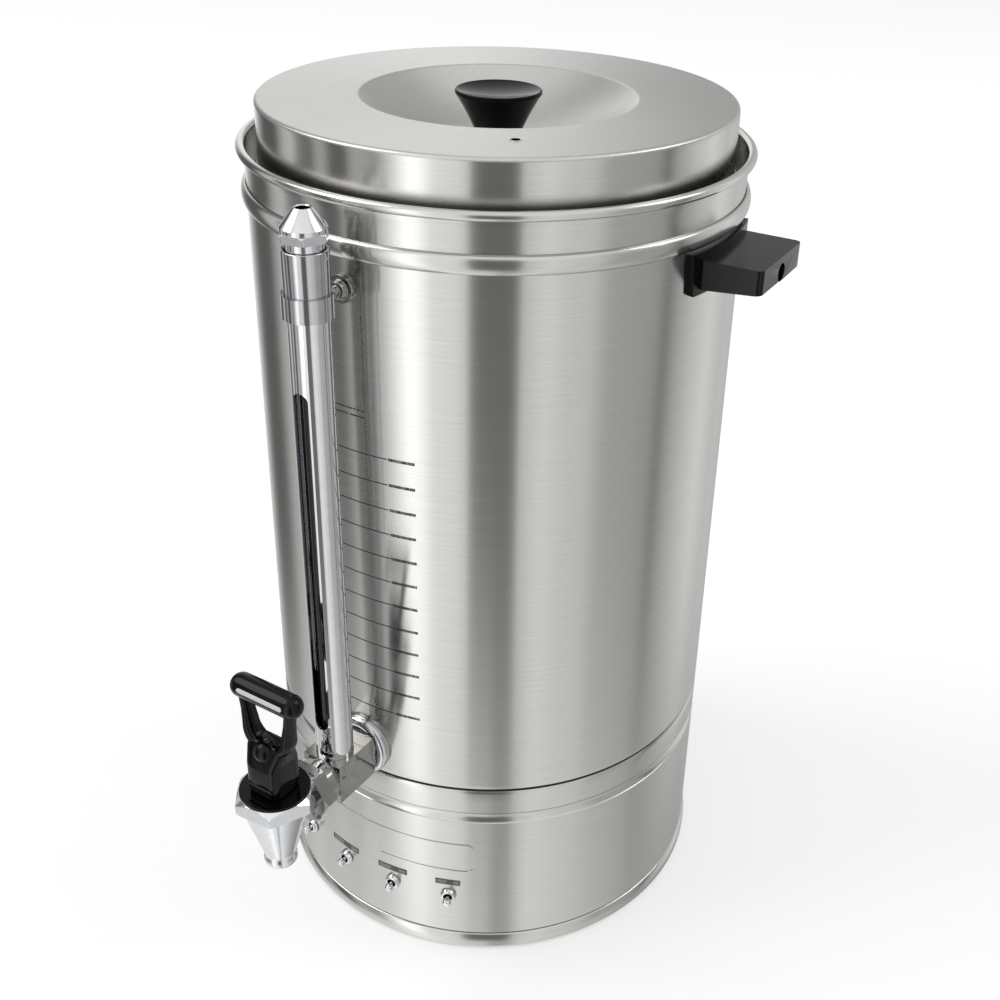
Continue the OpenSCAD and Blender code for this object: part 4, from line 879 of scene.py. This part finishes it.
def paleFloor():
    # a wide pale floor; its own light only shows to the camera, so the shadow stays and nothing is lit by it
    bpy.ops.mesh.primitive_plane_add(size=24, location=(0, 0, 0))
    floor = bpy.context.object
    floor.name = "studioFloor"
    m = bpy.data.materials.new("paintedStudioFloor")
    m.use_nodes = True
    tree = m.node_tree
    tree.nodes.clear()
    path = add(tree, "ShaderNodeLightPath")
    lit = add(tree, "ShaderNodeBsdfDiffuse", Color=srgb("#efefef"))
    glow = add(tree, "ShaderNodeEmission", [(path.outputs["Is Camera Ray"], "Strength")],
               Color=srgb("#9a9a9a"))
    both = add(tree, "ShaderNodeAddShader", [(lit.outputs[0], 0), (glow.outputs[0], 1)])
    add(tree, "ShaderNodeOutputMaterial", [(both.outputs[0], "Surface")])
    floor.data.materials.append(m)
    floor.visible_glossy = False


def softWorld():
    # the room round the object, which only glossy rays see: grey levels against the direction from the front
    world = bpy.data.worlds.new("softStudio")
    bpy.context.scene.world = world
    world.use_nodes = True
    tree = world.node_tree
    tree.nodes.clear()
    path = add(tree, "ShaderNodeLightPath")
    where = add(tree, "ShaderNodeTexCoord")
    axes = add(tree, "ShaderNodeSeparateXYZ", [(where.outputs["Generated"], "Vector")])
    front = add(tree, "ShaderNodeMath", [(axes.outputs["Y"], 0), (-1.0, 1)], operation="MULTIPLY")
    turn = add(tree, "ShaderNodeMath", [(axes.outputs["X"], 0), (front.outputs[0], 1)], operation="ARCTAN2")
    share = add(tree, "ShaderNodeMapRange", [(turn.outputs[0], "Value")], From_Min=-math.pi, From_Max=math.pi,
                To_Min=0.0, To_Max=1.0)
    # soft upright panels between darker gaps, as (degrees from the front, grey level)
    panels = [(-180, 0.65), (-156, 0.5), (-146, 1.14), (-130, 1.12), (-117, 0.5), (-108, 0.14), (-92, 0.13),
              (-84, 0.6), (-75, 0.8), (-40, 0.6), (-23, 0.45), (-15, 1.15), (-7, 1.9), (-1, 1.65), (4, 1.15),
              (15, 1.08), (20, 0.9), (22, 0.3), (27, 0.18), (40, 0.19), (43, 0.3), (45, 0.8), (56, 1.0),
              (66, 0.86), (77, 0.8), (86, 0.54), (112, 0.46), (118, 0.22), (124, 0.5), (136, 0.76),
              (152, 0.98), (168, 0.7)]
    # more dark gaps on the left, which give the lid's side and the fittings their streaks
    gaps = [(-180, 1), (-77, 1), (-71, 0.35), (-62, 0.25), (-57, 0.8), (-53, 0.75), (-49, 0.22), (-41, 0.22),
            (-36, 1)]
    # the pale floor the lower rays meet, brightest before the camera and dim behind the urn
    pools = [(-180, 0.3), (-110, 0.85), (-30, 1.05), (-6, 1.35), (12, 1.05), (30, 0.92), (37, 0.6),
             (45, 0.62), (54, 1.02), (96, 0.78), (128, 0.52), (160, 0.34)]
    panels, gaps, pools = (
        add(tree, "ShaderNodeValToRGB", [(share.outputs["Result"], "Fac")],
            [((degrees + 180) / 360, grey) for degrees, grey in levels]).outputs[0]
        for levels in (panels, gaps, pools))
    # the ceiling is brighter over the camera's side, which the rolled rims and the gauge cap's cone catch
    facing = add(tree, "ShaderNodeVectorMath", [(where.outputs["Generated"], 0), ((0.515, -0.857, 0), 1)],
                 operation="DOT_PRODUCT")
    near = add(tree, "ShaderNodeMapRange", [(facing.outputs["Value"], "Value")],
               interpolation_type="SMOOTHSTEP", From_Min=-0.05, From_Max=0.5)
    high = add(tree, "ShaderNodeMapRange", [(axes.outputs["Z"], "Value")], interpolation_type="SMOOTHSTEP",
               From_Min=0.1, From_Max=0.45)
    above = add(tree, "ShaderNodeMath", [(near.outputs["Result"], 0), (high.outputs["Result"], 1)],
                operation="MULTIPLY")
    ceiling = add(tree, "ShaderNodeMix", [(above.outputs[0], 0), ((0.6, 0.6, 0.6, 1), 6),
                                          ((1.25, 1.25, 1.25, 1), 7)], data_type="RGBA")
    level = add(tree, "ShaderNodeMix", [(1.0, 0), (panels, 6), (gaps, 7)], data_type="RGBA",
                blend_type="MULTIPLY")
    # each layer covers those before it by a share that changes with the ray's rise: the floor, the ceiling, a
    # faint dark ring over it, which draws a dark line on each rounded rim, and a lamp overhead
    for curve, start, stop, low, top, cover in (
            ("SMOOTHSTEP", -0.78, -0.5, 1.0, 0.0, pools), ("LINEAR", 0.35, 0.8, 0.0, 1.0, ceiling.outputs[2]),
            ("SMOOTHSTEP", 0.52, 0.7, 0.0, 0.12, (0.12, 0.12, 0.12, 1)),
            ("SMOOTHSTEP", 0.76, 0.87, 0.0, 1.0, (1.0, 1.0, 1.0, 1))):
        part = add(tree, "ShaderNodeMapRange", [(axes.outputs["Z"], "Value")], interpolation_type=curve,
                   From_Min=start, From_Max=stop, To_Min=low, To_Max=top)
        level = add(tree, "ShaderNodeMix", [(part.outputs["Result"], 0), (level.outputs[2], 6), (cover, 7)],
                    data_type="RGBA")
    mirrored = add(tree, "ShaderNodeBackground", [(level.outputs[2], "Color")], Strength=1.0)
    even = add(tree, "ShaderNodeBackground", Color=srgb("#ffffff"), Strength=0.62)
    seen = add(tree, "ShaderNodeBackground", Color=srgb("#ffffff"), Strength=1.0)
    glossy = add(tree, "ShaderNodeMixShader", [(path.outputs["Is Glossy Ray"], 0), (even.outputs[0], 1),
                                               (mirrored.outputs[0], 2)])
    camera = add(tree, "ShaderNodeMixShader", [(path.outputs["Is Camera Ray"], 0), (glossy.outputs[0], 1),
                                               (seen.outputs[0], 2)])
    add(tree, "ShaderNodeOutputWorld", [(camera.outputs[0], "Surface")])


def softboxes():
    # a large softbox high on the left and a smaller one behind on the right, both turned to the urn's middle
    for name, place, size, watts in (("softboxLeft", (-3.0, -2.0, 3.8), 3.0, 74),
                                     ("softboxBack", (2.8, 2.0, 3.4), 2.0, 30)):
        lamp = bpy.data.lights.new(name, "AREA")
        lamp.size = size
        lamp.energy = watts
        obj = bpy.data.objects.new(name, lamp)
        bpy.context.scene.collection.objects.link(obj)
        obj.location = place
        obj.visible_camera = False
        obj.rotation_euler = (Vector((0, 0, 0.25)) - Vector(place)).to_track_quat("-Z", "Y").to_euler()


def photoCamera():
    # place, forward direction and roll worked out from the photograph's ellipses
    shot = dict(place=(0.42128, -0.64625, 0.71928), forward=(-0.45451, 0.75674, -0.46987), roll=1.7111,
                lens=46.4256, shiftX=-0.03613, shiftY=-0.05166)
    forward = Vector(shot["forward"]).normalized()
    right = forward.cross(Vector((0, 0, 1))).normalized()
    up = right.cross(forward)
    c, s = math.cos(math.radians(shot["roll"])), math.sin(math.radians(shot["roll"]))
    across, over = right * c + up * s, up * c - right * s
    turn = Matrix((across, over, -forward)).transposed()
    cam = bpy.data.cameras.new("photoCamera")
    cam.sensor_width = 36
    cam.lens = shot["lens"]
    cam.shift_x = shot["shiftX"]
    cam.shift_y = shot["shiftY"]
    cam.clip_start, cam.clip_end = 0.02, 60
    obj = bpy.data.objects.new("photoCamera", cam)
    bpy.context.scene.collection.objects.link(obj)
    obj.matrix_world = Matrix.Translation(Vector(shot["place"])) @ turn.to_4x4()
    bpy.context.scene.camera = obj


paleFloor()
softWorld()
softboxes()
photoCamera()
bpy.context.scene.view_settings.view_transform = "Standard"
print("studio done")
